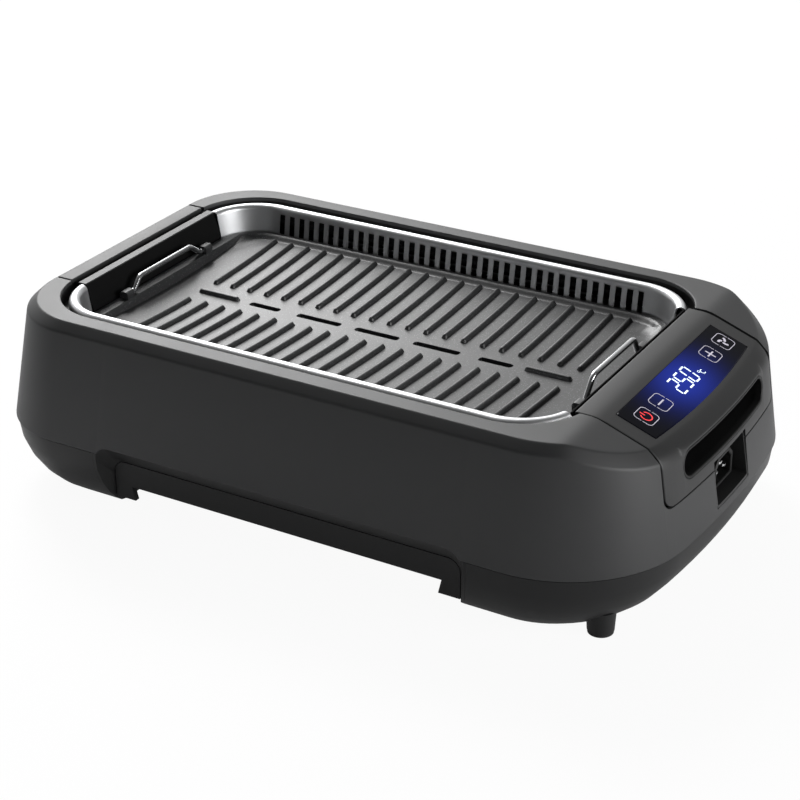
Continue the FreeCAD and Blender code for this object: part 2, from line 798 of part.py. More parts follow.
def tray_front():
    """The drawer front with rounded upper corners and a finger opening between two lugs."""
    face = Part.Face(drawer_section(face_y, front_half, front_top_z, 9.0))
    body = face.extrude(V(0, front_thick, 0))
    body = body.common(block(-length, length, -depth, depth, front_low_z, rim_z))
    top = front_half - lug_wide
    low = top - 6.0
    y = face_y - 1
    points = [
        V(tray_x - top, y, finger_z),
        V(tray_x + top, y, finger_z),
        V(tray_x + low, y, 0),
        V(tray_x - low, y, 0),
    ]
    cut = Part.Face(Part.makePolygon(points + [points[0]])).extrude(V(0, front_thick + 2, 0))
    return body.cut(cut)


def drip_tray():
    """The sheet tray behind the front, with side flanges that ride on the rails."""
    y0 = face_y + front_thick
    low = max(tray_low_z, finger_z)
    body = block(tray_x - tray_half, tray_x + tray_half, y0, tray_back, tray_low_z, tray_high_z)
    t = tray_sheet
    body = body.cut(block(tray_x - tray_half, tray_x + tray_half, y0 - 1, y0 + 40, 0, low))
    slope = [V(0, y0 + 40, 0), V(0, y0 + 40, low), V(0, y0 + 52, tray_low_z), V(0, y0 + 52, 0)]
    wedge = Part.Face(Part.makePolygon(slope + [slope[0]])).extrude(V(2 * tray_half, 0, 0))
    wedge.translate(V(tray_x - tray_half, 0, 0))
    body = body.cut(wedge)
    inside = block(tray_x - tray_half + t, tray_x + tray_half - t, y0 + t, tray_back - t, low + t, rim_z)
    deep = block(tray_x - tray_half + t, tray_x + tray_half - t, y0 + 55, tray_back - t, tray_low_z + t, rim_z)
    reach = tray_half + tray_flange
    rims = block(tray_x - reach, tray_x + reach, y0, tray_back, tray_high_z - t, tray_high_z)
    return body.fuse(rims).cut(inside.fuse(deep))


def tray_rails():
    """Two rails on the floor of the base under the flanges of the tray."""
    rails = []
    for side in (-1, 1):
        a = tray_x + side * (tray_half + 1.0)
        b = tray_x + side * (tray_half + tray_flange + 1.0)
        x0, x1 = sorted((a, b))
        top = tray_high_z - tray_sheet - seat_gap
        rails.append(block(x0, x1, face_y + finger_deep + 2, tray_back, floor_z, top))
    return Part.makeCompound(rails)


def glass_block(grow, n0, n1):
    """The glass on the slope: straight towards the grill, bowed like the end wall outside."""
    far = glass_start + glass_long + grow
    half = glass_half + grow
    body = deck_block(glass_start - grow, far, -half, half, n0, n1, 2.0)
    bow = bow_radius - length / 2 + deck_x + far * cos_deck
    return body.common(Part.makeCylinder(bow, 2 * rim_z, V(length / 2 - bow_radius, 0, 0)))


def touch_glass():
    """The black glass set into the sloped panel."""
    return glass_block(0, -glass_thick, 0)


def display_module():
    """The lit number display between the board and the glass."""
    a = glass_start + 3.5
    b = glass_start + glass_long - 3.5
    half = window_half - 0.5
    return deck_block(a, b, -half, half, -board_drop, -glass_thick - 0.1, 2.0)


def control_board():
    """The touch board under the panel."""
    half = glass_half - 4.5
    return deck_block(glass_start, glass_start + 27, -half, half, -board_drop - board_thick, -board_drop, 2.0)


def board_standoffs():
    """Four short posts between the panel and its board."""
    posts = []
    for u in (glass_start + 3, glass_start + 23):
        for y in (-70.0, 70.0):
            post = Part.makeCylinder(2.5, board_drop - wall, V(deck_x + u, y, rim_z - board_drop))
            post.rotate(V(deck_x, 0, rim_z), V(0, 1, 0), deck_angle)
            posts.append(post)
    return Part.makeCompound(posts)


def grip_pocket(half, outer, side):
    """A thin-walled hand pocket that ends flush with the drafted wall."""
    back = side * (length / 2 - right_draft - grip_deep)
    x0, x1 = sorted((back - side * grip_wall, side * length))
    body = grip_block(half, grip_wall, x0, x1).common(outer)
    x0, x1 = sorted((back, side * length))
    return body.cut(grip_block(half, 0, x0, x1))


def inlet_surround(outer):
    """The pocket that carries the appliance inlet, flush with the drafted wall."""
    body = inlet_block(grip_wall).common(outer).cut(inlet_block(0))
    z = (inlet_low_z + inlet_high_z) / 2
    back = length / 2 - inlet_deep
    half = socket_half + fit
    rise = socket_rise + fit
    body = body.cut(block(back - 5, back + 1, -half, half, z - rise, z + rise))
    for y in (-20.0, 20.0):
        body = body.cut(rod(1.6, V(back - 5, y, z), V(back + 1, y, z)))
    return body


def power_inlet():
    """The appliance inlet with a flange behind the pocket and a six-sided cavity."""
    z = (inlet_low_z + inlet_high_z) / 2
    back = length / 2 - inlet_deep
    x0 = back - grip_wall - socket_long + 5
    body = block(x0, back + 3, -socket_half, socket_half, z - socket_rise, z + socket_rise, 1.5, V(1, 0, 0))
    seat = back - grip_wall
    flange = block(seat - 2.5, seat, -24, 24, z - socket_rise, z + socket_rise, 2.0, V(1, 0, 0))
    body = body.fuse(flange)
    h = socket_half - 1.6
    v = socket_rise - 1.6
    six = [(-h, v), (h, v), (h, 6 - v), (h - 6, -v), (6 - h, -v), (-h, 6 - v)]
    points = [V(back + 4, y, z + rise) for y, rise in six]
    cavity = Part.Face(Part.makePolygon(points + [points[0]])).extrude(V(-20, 0, 0))
    body = body.cut(cavity)
    for y in (-20.0, 20.0):
        body = body.cut(rod(1.5, V(back - 10, y, z), V(back, y, z)))
    return body


def inlet_pins():
    """Three flat pins standing on the floor of the cavity."""
    z = (inlet_low_z + inlet_high_z) / 2
    x0 = length / 2 - inlet_deep - 16
    pins = []
    for y, shift in ((-7.0, -1.5), (0.0, 2.0), (7.0, -1.5)):
        pins.append(block(x0, x0 + 14, y - 1, y + 1, z + shift - 2, z + shift + 2))
    return Part.makeCompound(pins)


def inlet_screws():
    """Two screws through the pocket into the flange of the inlet."""
    z = (inlet_low_z + inlet_high_z) / 2
    back = length / 2 - inlet_deep
    screws = []
    for y in (-20.0, 20.0):
        head = rod(3.0, V(back, y, z), V(back + 2, y, z))
        screws.append(head.fuse(rod(1.5, V(back - 6, y, z), V(back, y, z))))
    return Part.makeCompound(screws)


def power_board():
    """The mains board on posts in the base, below the control end."""
    return block(mains_x, mains_x + mains_wide, -mains_half, mains_half, mains_z, mains_top)


def power_components():
    """Transformer, relay and capacitors on the mains board."""
    x = mains_x
    z = mains_top
    return Part.makeCompound([
        block(x + 7, x + 31, -60, -28, z, z + 19, 1.5),
        block(x + 40, x + 60, -55, -39, z, z + 15, 1.0),
        block(x + 7, x + 25, 30, 58, z, z + 16, 1.0),
        rod(6.0, V(x + 51, 30, z), V(x + 51, 30, z + 19)),
        rod(5.0, V(x + 51, 48, z), V(x + 51, 48, z + 16)),
    ])


def supply_wires():
    """Three leads from the inlet down to the mains board."""
    z = (inlet_low_z + inlet_high_z) / 2
    x0 = length / 2 - inlet_deep - grip_wall - socket_long + 5
    leads = []
    for y in (-7.0, 0.0, 7.0):
        leads.append(bent_tube([V(x0, y, z), V(x0 - 14, y, z), V(x0 - 14, y, mains_top)], [6.0], 1.6))
    return Part.makeCompound(leads)


def element_wires():
    """Two leads from the ends of the element down to the mains board."""
    x0 = plate_x + liner_hx + 6
    leads = []
    for y in (-element_rows[1], element_rows[1]):
        path = [V(x0, y, element_z), V(x0 + 14, y, element_z), V(x0 + 14, y, mains_top)]
        leads.append(bent_tube(path, [6.0] * (len(path) - 2), 1.6))
    return Part.makeCompound(leads)


def ribbon_cable():
    """A flat cable from the touch board down to the mains board."""
    flat = block(deck_x + 12, deck_x + 13, 58, 70, mains_top, rim_z)
    return flat.cut(deck_block(-60, 120, -depth, depth, -board_drop - board_thick, 60))


def housing_screws():
    """Four long screws from under the base up into the housing."""
    screws = []
    for p in screw_places():
        low = ground_gap + 4
        head = rod(2 * screw_r, p + V(0, 0, low - 3), p + V(0, 0, low))
        screws.append(head.fuse(rod(screw_r, p + V(0, 0, low), p + V(0, 0, parting_z + boss_high - 6))))
    return Part.makeCompound(screws)


def build():
    """Every node of the grill by name."""
    outer = housing_block(0)
    inside = housing_block(wall)
    shell = outer.cut(inside)
    base_outer = base_block(0)
    base_inside = base_block(wall)
    right_x = plate_x + liner_hx - 0.8 * plate_gap + panel_lean + 0.8
    return {
        "upper_housing": upper_housing(shell, inside),
        "liner_seat": liner_seat(),
        "lower_base": lower_base(base_outer, base_inside),
        "drawer_frame": drawer_frame(outer, base_outer),
        "support_feet": support_feet(base_outer),
        "foot_pads": foot_pads(),
        "metal_liner": metal_liner(),
        "control_cover": control_cover(shell),
        "left_handle_cover": left_handle_cover(shell),
        "left_heat_panel": heat_panel(-1, left_half - seam, plate_x - lip_hx),
        "right_heat_panel": heat_panel(1, module_half - seam, right_x),
        "left_panel_trim": left_panel_trim(),
        "right_grip_recess": grip_pocket(grip_half, outer, 1),
        "left_grip_recess": grip_pocket(left_grip_half, outer, -1),
        "touch_glass": touch_glass(),
        "display_module": display_module(),
        "control_board": control_board(),
        "board_standoffs": board_standoffs(),
        "inlet_surround": inlet_surround(outer),
        "power_inlet": power_inlet(),
        "inlet_pins": inlet_pins(),
        "inlet_screws": inlet_screws(),
        "power_board": power_board(),
        "power_components": power_components(),
        "supply_wires": supply_wires(),
        "element_wires": element_wires(),
        "ribbon_cable": ribbon_cable(),
        "heat_reflector": heat_reflector(),
        "heating_element": heating_element(),
        "element_supports": element_supports(),
        "terminal_blocks": terminal_blocks(),
        "temperature_sensor": temperature_sensor(),
        "thermal_fuse": thermal_fuse(),
        "fan_impeller": fan_impeller(),
        "fan_shaft": fan_shaft(),
        "fan_duct": fan_duct(),
        "fan_bearing": fan_bearing(),
        "fan_motor": fan_motor(),
        "motor_screws": motor_screws(),
        "grill_plate": grill_plate(),
        "handle_brackets": handle_brackets(),
        "plate_handle_left": plate_handle(-1, left_high, left_lean),
        "plate_handle_right": plate_handle(1, right_high, right_lean),
        "tray_front": tray_front(),
        "drip_tray": drip_tray(),
        "tray_rails": tray_rails(),
        "housing_screws": housing_screws(),
    }


for name, shape in build().items():
    shape.exportStep("parts/" + name + ".step")
    print(name, len(shape.Solids), round(shape.Volume))
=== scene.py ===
# %% [markdown]
# # A smokeless grill, dressed
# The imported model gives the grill's construction: where each piece is, and what moves. This lesson
# keeps that frame as it is and works out the looks around it, piece by piece. Sizes are in millimetres,
# as on the maker's drawing, and become metres when a mesh is made.

# %% Load the frame
import json
import math
import bmesh
import bpy
import numpy as np
from mathutils import Matrix, Vector


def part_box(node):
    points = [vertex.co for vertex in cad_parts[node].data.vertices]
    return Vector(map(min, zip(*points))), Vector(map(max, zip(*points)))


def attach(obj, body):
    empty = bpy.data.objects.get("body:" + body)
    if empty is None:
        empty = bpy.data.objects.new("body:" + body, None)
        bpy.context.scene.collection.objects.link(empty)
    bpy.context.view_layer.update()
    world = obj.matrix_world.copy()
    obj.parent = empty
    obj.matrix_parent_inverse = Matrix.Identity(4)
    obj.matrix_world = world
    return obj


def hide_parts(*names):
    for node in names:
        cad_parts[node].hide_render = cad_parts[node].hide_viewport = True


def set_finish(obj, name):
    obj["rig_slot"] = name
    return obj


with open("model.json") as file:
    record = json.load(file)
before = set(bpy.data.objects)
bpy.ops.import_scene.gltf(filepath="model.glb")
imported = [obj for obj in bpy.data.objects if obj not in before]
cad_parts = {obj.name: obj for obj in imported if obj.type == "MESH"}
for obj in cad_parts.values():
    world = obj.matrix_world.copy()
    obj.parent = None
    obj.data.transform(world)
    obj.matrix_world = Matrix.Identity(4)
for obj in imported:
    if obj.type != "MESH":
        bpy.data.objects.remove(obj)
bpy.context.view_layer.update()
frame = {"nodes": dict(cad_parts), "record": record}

MM = 0.001
nodes = frame["nodes"]

# %% [markdown]
# ## Sizes
# A designer reads sizes off the drawing once and names them. The frame is our drawing: the box of a
# node gives most sizes, and the few that a box can't show, such as drafts and corner radii, are written
# here.

# %% Sizes read from the frame


def mm_box(node):
    """Lowest and highest corner of a node, in millimetres."""
    low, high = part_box(node)
    return np.array(low) / MM, np.array(high) / MM


shell_low, shell_high = mm_box("upper_housing")
cover_low, cover_high = mm_box("control_cover")
lip_low, lip_high = mm_box("metal_liner")
plate_low, plate_high = mm_box("grill_plate")
grip_low, grip_high = mm_box("right_grip_recess")
inlet_low, inlet_high = mm_box("inlet_surround")
carry_x, carry_half = mm_box("left_handle_cover")[1][:2]

length = shell_high[0] - shell_low[0]
depth = shell_high[1] - shell_low[1]
rim_z = shell_high[2]
parting_z = shell_low[2]
module_x = cover_low[0]
module_half = cover_high[1]
module_low_z = cover_low[2]
plate_x = (plate_low[0] + plate_high[0]) / 2
plate_half = (plate_high - plate_low) / 2
lip_half = (lip_high - lip_low) / 2
print("housing", length.round(1), "x", depth.round(1), "mm, rim at", rim_z.round(1))

# %% Sizes that a box can't show
wall = 2.8
bow_radius = 775.0
corner_left = 66.0
corner_right = 92.0
front_draft = 11.8
left_draft = 14.5
right_draft = 11.7
chamfer = 6.3
wall_top = rim_z - chamfer
deck_edge = 18.0
deck_x = module_x + 15.1
deck_angle = math.radians(20.3)
channel = 5.3
rim_corner = 51.0
seam = 1.7
joint_gap = 0.25

# %% [markdown]
# ## From arrays to meshes
# A surface is a grid of points: rows across the profile, columns along the path. numpy works out the
# whole grid at once, and one helper stitches grids into a closed mesh. Doubles are merged before the
# normals are set, because a seam that is only touching would otherwise count as a hole.

# %% Mesh helpers


def grid_faces(rows, cols, wrap_rows, wrap_cols):
    """Quads between neighbouring points of a grid, closed round rows or columns where asked."""
    index = np.arange(rows * cols).reshape(rows, cols)
    if wrap_rows:
        index = np.vstack([index, index[:1]])
    if wrap_cols:
        index = np.hstack([index, index[:, :1]])
    quads = np.stack([index[:-1, :-1], index[:-1, 1:], index[1:, 1:], index[1:, :-1]], -1)
    return quads.reshape(-1, 4)


def surface(grid, wrap_rows=False, wrap_cols=False, caps=False, keep=slice(None)):
    """A grid of points, how it closes, and which of its faces are kept."""
    return {"grid": np.asarray(grid, float), "wrap": (wrap_rows, wrap_cols), "caps": caps, "keep": keep}


def tube_of(grid):
    """A closed profile (rows) carried along an open path (columns), with a flat cap at both ends."""
    return surface(grid, wrap_rows=True, caps=True)


def ring_of(grid):
    """A closed profile carried along a closed path."""
    return surface(grid, wrap_rows=True, wrap_cols=True)


def band_of(grid):
    """An open profile carried along a closed path, to be closed by the other grids of its piece."""
    return surface(grid, wrap_cols=True)


def make_mesh(name, surfaces, sharp=32.0):
    """One object from several grids: points are joined, normals turned outward, crisp edges marked."""
    points, faces, first = [], [], 0
    for part in surfaces:
        rows, cols = part["grid"].shape[:2]
        faces += (grid_faces(rows, cols, *part["wrap"])[part["keep"]] + first).tolist()
        if part["caps"]:
            ends = np.arange(rows) * cols + first
            faces += [ends.tolist(), (ends + cols - 1).tolist()]
        points.append(part["grid"].reshape(-1, 3) * MM)
        first += rows * cols
    mesh = bpy.data.meshes.new(name)
    mesh.from_pydata(np.vstack(points).tolist(), [], faces)
    shape = bmesh.new()
    shape.from_mesh(mesh)
    bmesh.ops.remove_doubles(shape, verts=shape.verts, dist=2e-6)
    bmesh.ops.dissolve_degenerate(shape, edges=shape.edges, dist=1e-6)
    bmesh.ops.recalc_face_normals(shape, faces=shape.faces)
    shape.to_mesh(mesh)
    shape.free()
    mesh.shade_smooth()
    mesh.set_sharp_from_angle(angle=math.radians(sharp))
    thing = bpy.data.objects.new(name, mesh)
    bpy.context.scene.collection.objects.link(thing)
    print(name, len(mesh.polygons), "faces")
    return thing


pieces = {}


def make_piece(name, body, slot, surfaces, replaced=None, sharp=32.0):
    """A mesh that rides on a body, has a finish slot, and stands for a node where it replaces one."""
    piece = make_mesh(name, surfaces, sharp)
    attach(piece, body)
    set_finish(piece, slot)
    if replaced:
        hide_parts(replaced)
    pieces[name] = piece


# %% [markdown]
# ## Rounded profiles
# Moulded plastic has no knife edges: every corner of a profile is eased by a small arc. Each column of
# a shell is a polyline of corners, and a quadratic curve near each corner stands for that arc. All
# columns are rounded together, since a corner is an array with one point per column.

# %% Profile helpers
arc_share = 0.48
shell_knee = 1.6


def unit(vectors):
    """Vectors scaled to length one; a zero vector stays zero."""
    size = np.linalg.norm(vectors, axis=-1, keepdims=True)
    return vectors / np.where(size > 1e-9, size, 1.0)


def rounded_profile(corners, easing, steps=5):
    """Closed profile: corner c becomes (1-t)^2 a + 2t(1-t) c + t^2 b.

    The points a and b lie up to `easing` away from c, along its two edges.
    """
    rows = []
    for i, (corner, ease) in enumerate(zip(corners, easing)):
        if np.all(ease == 0):
            rows.append(corner)
            continue
        legs = []
        for other in (corners[i - 1], corners[(i + 1) % len(corners)]):
            span = np.linalg.norm(other - corner, axis=-1, keepdims=True)
            legs.append(corner + unit(other - corner) * np.minimum(ease, arc_share * span))
        for t in np.linspace(0, 1, steps):
            rows.append((1 - t) ** 2 * legs[0] + 2 * t * (1 - t) * corner + t ** 2 * legs[1])
    return np.array(rows)


def soft_step(x, width):
    """A ramp that starts at zero and bends over smoothly: width * log(1 + e^(x / width))."""
    return width * np.logaddexp(0, x / width)


def slope_down(points):
    """Lowers what lies beyond the knee: nothing at the parting line, all of the slope at the wall's top."""
    share = np.clip((points[..., 2] - parting_z) / (wall_top - parting_z), 0, 1)
    lowered = points.copy()
    lowered[..., 2] -= math.tan(deck_angle) * soft_step(points[..., 0] - deck_x, shell_knee) * share
    return lowered


# %% [markdown]
# ## Plan outline
# Seen from above, the housing is a rectangle with big round corners whose right end is one long bow. A
# point's place along that outline is kept while the outline shrinks with height, so walls, chamfer and
# rim share the same columns.

# %% Plan outline
bow_x = length / 2 - bow_radius
corner_y = depth / 2 - corner_right
corner_centre = (bow_x + math.sqrt((bow_radius - corner_right) ** 2 - corner_y ** 2), corner_y)
turn_right, turn_left, run_left = 30, 21, 4


def corner_arc(cx, cy, r, start, end, share):
    """Points on a circle about (cx, cy), turning from start to end as share goes from 0 to 1."""
    angle = start + (end - start) * share
    return np.stack([cx + r * np.cos(angle), cy + r * np.sin(angle)], -1)


def bow_at(right, y):
    """X of the right end, set in by `right`, at y from the middle: the bow, then the corner's arc."""
    y = np.abs(y)
    cx, cy = corner_centre
    bow = bow_x + np.sqrt((bow_radius - right) ** 2 - y ** 2)
    corner = cx + np.sqrt(np.maximum((corner_right - right) ** 2 - np.maximum(y - cy, 0) ** 2, 0))
    return np.where(y * (cx - bow_x) > cy * (bow - bow_x), corner, bow)


def half_outline(front, left, right, seam_right, seam_left, straight):
    """Front half of the plan, from the right seam: corner, straight front, corner, straight left end."""
    y = depth / 2 - front
    x0 = -length / 2 + left
    rl = corner_left - 0.5 * left
    rr = corner_right - right
    fy = y - rr
    fx = bow_x + math.sqrt((bow_radius - right - rr) ** 2 - fy ** 2)
    start = -math.asin((seam_right - fy) / rr)
    near = corner_arc(fx, -fy, rr, start, -math.pi / 2, np.linspace(0, 1, turn_right)[:-1])
    along = np.stack([fx + (x0 + rl - fx) * straight, np.full(len(straight), -y)], -1)
    turn = np.linspace(0, 1, turn_left + 1)[1:]
    far = corner_arc(x0 + rl, rl - y, rl, -math.pi / 2, -math.pi, turn)
    end = np.stack([np.full(run_left, x0), np.linspace(rl - y, -seam_left, run_left + 1)[1:]], -1)
    return np.vstack([near, along, far, end])


def at_height(plan, z):
    """Plan points lifted to a height, which may differ from column to column."""
    return np.column_stack([plan, np.broadcast_to(z, len(plan))])


# %% [markdown]
# ## The drawer's arch
# The lower edge of the front wall rises over the drawer and comes down again in two small arcs. The
# columns of the front are packed closer there, so that the arcs stay round.

# %% Arch over the drawer
tray_low, tray_high = mm_box("tray_front")
tray_x = (tray_low[0] + tray_high[0]) / 2
arch_side = 5.0
arch_half = (tray_high[0] - tray_low[0]) / 2 - arch_side
arch_top = 58.5
arch_r = 13.0
edge_z = parting_z + joint_gap


def arch_z(x):
    """Height of the front wall's lower edge: the arch's top, a quarter circle, then the parting line."""
    past = np.clip(np.abs(x - tray_x) - arch_half, 0, arch_r)
    return np.maximum(edge_z, arch_top - arch_r + np.sqrt(arch_r ** 2 - past ** 2))


front_x0 = corner_centre[0]
front_x1 = -length / 2 + corner_left
bend_x = arch_half + arch_r * np.sin(np.linspace(0, math.pi / 2, 16))
front_xs = np.concatenate([tray_x + bend_x, tray_x - bend_x, np.linspace(front_x0, front_x1, 25)])
front_share = np.unique(np.round((front_x0 - front_xs) / (front_x0 - front_x1), 5))
front_share = front_share[(front_share >= 0) & (front_share <= 1)]
print("front columns", len(front_share))

# %% [markdown]
# ## Upper housing
# The real shell is one injection moulding: drafted walls, a crisp chamfer and a flat rim that slopes
# down beside the panel. Here its front half is a closed profile carried along the outline, and the back
# half is the same, mirrored and without the arch. The short walls below the two ends are panels of the
# same section.

# %% Housing halves
rim_half = np.array([lip_half[0] + channel, lip_half[1] + channel])
rim_x = (lip_low[0] + lip_high[0]) / 2
deck_rows = 12


def rim_edge(half, r, seams, straight, counts):
    """Front half of a rounded rectangle: round the right corner, along the front, round the left corner."""
    cy = r - half[1]
    right = rim_x + half[0] - r
    left = rim_x - half[0] + r
    start = math.asin((-seams[0] - cy) / r)
    stop = -math.pi - math.asin((-seams[1] - cy) / r)
    first = corner_arc(right, cy, r, start, -math.pi / 2, np.linspace(0, 1, counts[0]))
    last = corner_arc(left, cy, r, -math.pi / 2, stop, np.linspace(0, 1, counts[1] + 1)[1:])
    middle = np.column_stack([right + (left - right) * straight, np.full(len(straight), -half[1])])
    return np.vstack([first[:-1], middle, last])


def housing_half(arched):
    """Closed shell section: outer wall, chamfer, deck and rim, then back one wall further in.

    Where the deck slopes down, the wall's top corner slides down along the drafted wall.
    """
    seams = (module_half + seam, carry_half + seam)

    def plan(front, left, right):
        return half_outline(front, left, right, *seams, front_share)

    base = plan(0, 0, 0)
    low = arch_z(base[:, 0]) if arched else edge_z
    top = plan(front_draft, left_draft, right_draft)
    outer = plan(front_draft + chamfer, left_draft + chamfer, deck_edge)
    inner = rim_edge(rim_half, rim_corner, seams, front_share, (turn_right, turn_left + run_left))
    deck = [at_height(outer + (inner - outer) * t, rim_z) for t in np.linspace(0, 1, deck_rows)]
    under = [p - [0, 0, wall] for p in deck[:0:-1]]
    inside = plan(front_draft + wall, left_draft + wall, right_draft + wall)
    corners = [at_height(plan(wall, wall, wall), low), at_height(base, low), at_height(top, wall_top)]
    corners += deck + under + [at_height(inside, wall_top - wall)]
    easing = [0, 0.7, 1.6, 1.4] + [0] * (deck_rows - 2) + [1.0] + [0] * (len(under) + 1)
    lowered = [slope_down(c) for c in corners]
    climb = (lowered[2][:, 2:] - parting_z) / (wall_top - parting_z)
    lowered[2][:, :2] = base + (top - base) * climb
    return rounded_profile(lowered, easing)


def line_at(ys, x, z):
    """Points across the grill, one for each y; x and z are numbers or one value for each y."""
    return np.column_stack([np.broadcast_to(x, len(ys)), ys, np.broadcast_to(z, len(ys))])


def end_panel(ys, tops, wall_x, bottom):
    """A closed strip of end wall: outer face, top edge, inner face, with a height for each column."""
    turns = ((wall, bottom), (0, bottom), (0, tops), (wall, tops))
    corners = [line_at(ys, wall_x(ys, z, inset), z) for inset, z in turns]
    return rounded_profile(corners, [0, 0.7, 0.5, 0])


def right_wall(y, z, inset):
    """X of the drafted, bowed right wall at a height."""
    return bow_at(right_draft * ((z - parting_z) / (wall_top - parting_z)) + inset, y)


def left_wall(y, z, inset):
    """X of the drafted left wall at a height."""
    return -length / 2 + left_draft * ((z - parting_z) / (wall_top - parting_z)) + inset + 0 * y


def mirrored(grid):
    """The same grid on the other side of the grill."""
    return grid * [1, -1, 1]


# %% Housing piece
notch_half = inlet_high[1] + joint_gap
notch_low = inlet_low[2] - joint_gap
notch_high = inlet_high[2] + joint_gap
panel_top = module_low_z - 0.9
cover_corner = 8.0


def corner_rise(ys, half, r):
    """How far a lower edge climbs round a corner of radius r at both ends of its width."""
    past = np.clip(np.abs(ys) - (half - r), 0, r)
    return r - np.sqrt(r ** 2 - past ** 2)


side_edge = module_half + seam
side_bend = side_edge - cover_corner * (1 - np.sin(np.linspace(0, math.pi / 2, 10)))
side_ys = np.concatenate([np.linspace(notch_half, side_edge - cover_corner, 8)[:-1], side_bend])
side_top = panel_top + corner_rise(side_ys, side_edge, cover_corner)
right_side = end_panel(side_ys, side_top, right_wall, edge_z)
inlet_ys = np.linspace(-notch_half, notch_half, 12)
carry_ys = np.linspace(-carry_half - seam, carry_half + seam, 20)
make_piece("housing_shell", "grill_body", "housing_plastic", [
    tube_of(housing_half(True)),
    tube_of(mirrored(housing_half(False))),
    tube_of(right_side),
    tube_of(mirrored(right_side)),
    tube_of(end_panel(inlet_ys, notch_low, right_wall, edge_z)),
    tube_of(end_panel(carry_ys, panel_top, left_wall, edge_z)),
], "upper_housing")

# %% [markdown]
# ## Control end
# The control cover is a separate moulding that drops into the housing's right end. Its top has a flat
# strip, a soft knee and the sloped deck with a shallow tray for the glass, and it rolls over into the
# end wall. The wall has a long round-ended hole for the hand. A hole is awkward on one grid, so the
# cover is an upper and a lower band that meet at the hole's mid height, and each column simply stops at
# the hole's edge.

# %% Hand hole and cover bands
glass_u0, glass_u1 = 8.0, 42.4
glass_half = 78.0
glass_deep = 1.6
glass_gap = 0.2
cover_sink = 0.35
cover_knee = 2.6
knee_rows = 12
deck_cos, deck_sin = math.cos(deck_angle), math.sin(deck_angle)


def deck_point(u, y, n=0.0):
    """A point on the sloped deck: u runs down the slope from the knee, n stands off its surface."""
    u, y, n = np.broadcast_arrays(np.asarray(u, float), y, n)
    x = deck_x + u * deck_cos + n * deck_sin
    return np.stack([x, y, rim_z - u * deck_sin + n * deck_cos], -1)


def hole_edge(ys, half, low, high, side):
    """Height of a round-ended hole's edge at each y; beyond its ends, a hair off the hole's mid height."""
    r = (high - low) / 2
    past = np.clip(np.abs(ys) - (half - r), 0, r)
    return (low + high) / 2 + side * np.maximum(np.sqrt(r ** 2 - past ** 2), 0.01)


def hole_ease(ys, half, amount=0.5):
    """Rounding of the hole's edge for each column: none where there is no hole."""
    return np.where(np.abs(ys) < half - 0.5, amount, 0.0)[:, None]


def hole_columns(half, hole_half, r, extra):
    """Column places from side to side, close together at the hole's round ends and at the edges."""
    quarter = np.sin(np.linspace(0, math.pi / 2, 12))
    bend = hole_half - r + r * quarter
    corner = half - cover_corner * (1 - quarter)
    ease = half - np.array([0.0, 0.15, 0.45, 0.9])
    ys = np.concatenate([bend, corner, ease, np.linspace(0, half, 24), extra])
    ys = np.unique(np.round(ys, 4))
    return np.concatenate([-ys[:0:-1], ys])


def eased(corners, directions, ys, half, radius=0.9):
    """Draws the outer columns in along each corner's outward direction, as a quarter circle."""
    past = np.clip(np.abs(ys) - (half - radius), 0, radius)
    sink = radius - np.sqrt(radius ** 2 - past ** 2)
    return [c - sink[:, None] * np.array(d) for c, d in zip(corners, directions)]


def glass_edge_u(ys):
    """Down-slope place of the glass's outer edge, an arc about the centre of the end wall's bow."""
    reach = deck_x + glass_u1 * deck_cos - bow_x
    return (bow_x + np.sqrt(reach ** 2 - ys ** 2) - deck_x) / deck_cos


def wall_band(ys, half, hole, low, high, wall_x, inward):
    """Lower band below the hand hole: outer face, its two edges and the inner face."""
    turns = ((wall, low), (0, low), (0, high), (wall, high))
    corners = [line_at(ys, wall_x(ys, z, inset), z) for inset, z in turns]
    sides = [(0, 0, 0), (-inward, 0, 0), (-inward, 0, 0), (0, 0, 0)]
    return rounded_profile(eased(corners, sides, ys, half), [0, 0.5, hole_ease(ys, hole), 0])


# %% Control end piece
hole_low = grip_low[2] - joint_gap
hole_high = grip_high[2] + joint_gap
hole_r = (hole_high - hole_low) / 2
hole_half = grip_high[1] + joint_gap
cover_extra = [glass_half, glass_half + 0.02, notch_half, notch_half + 0.02]
cover_ys = hole_columns(module_half, hole_half, hole_r, cover_extra)


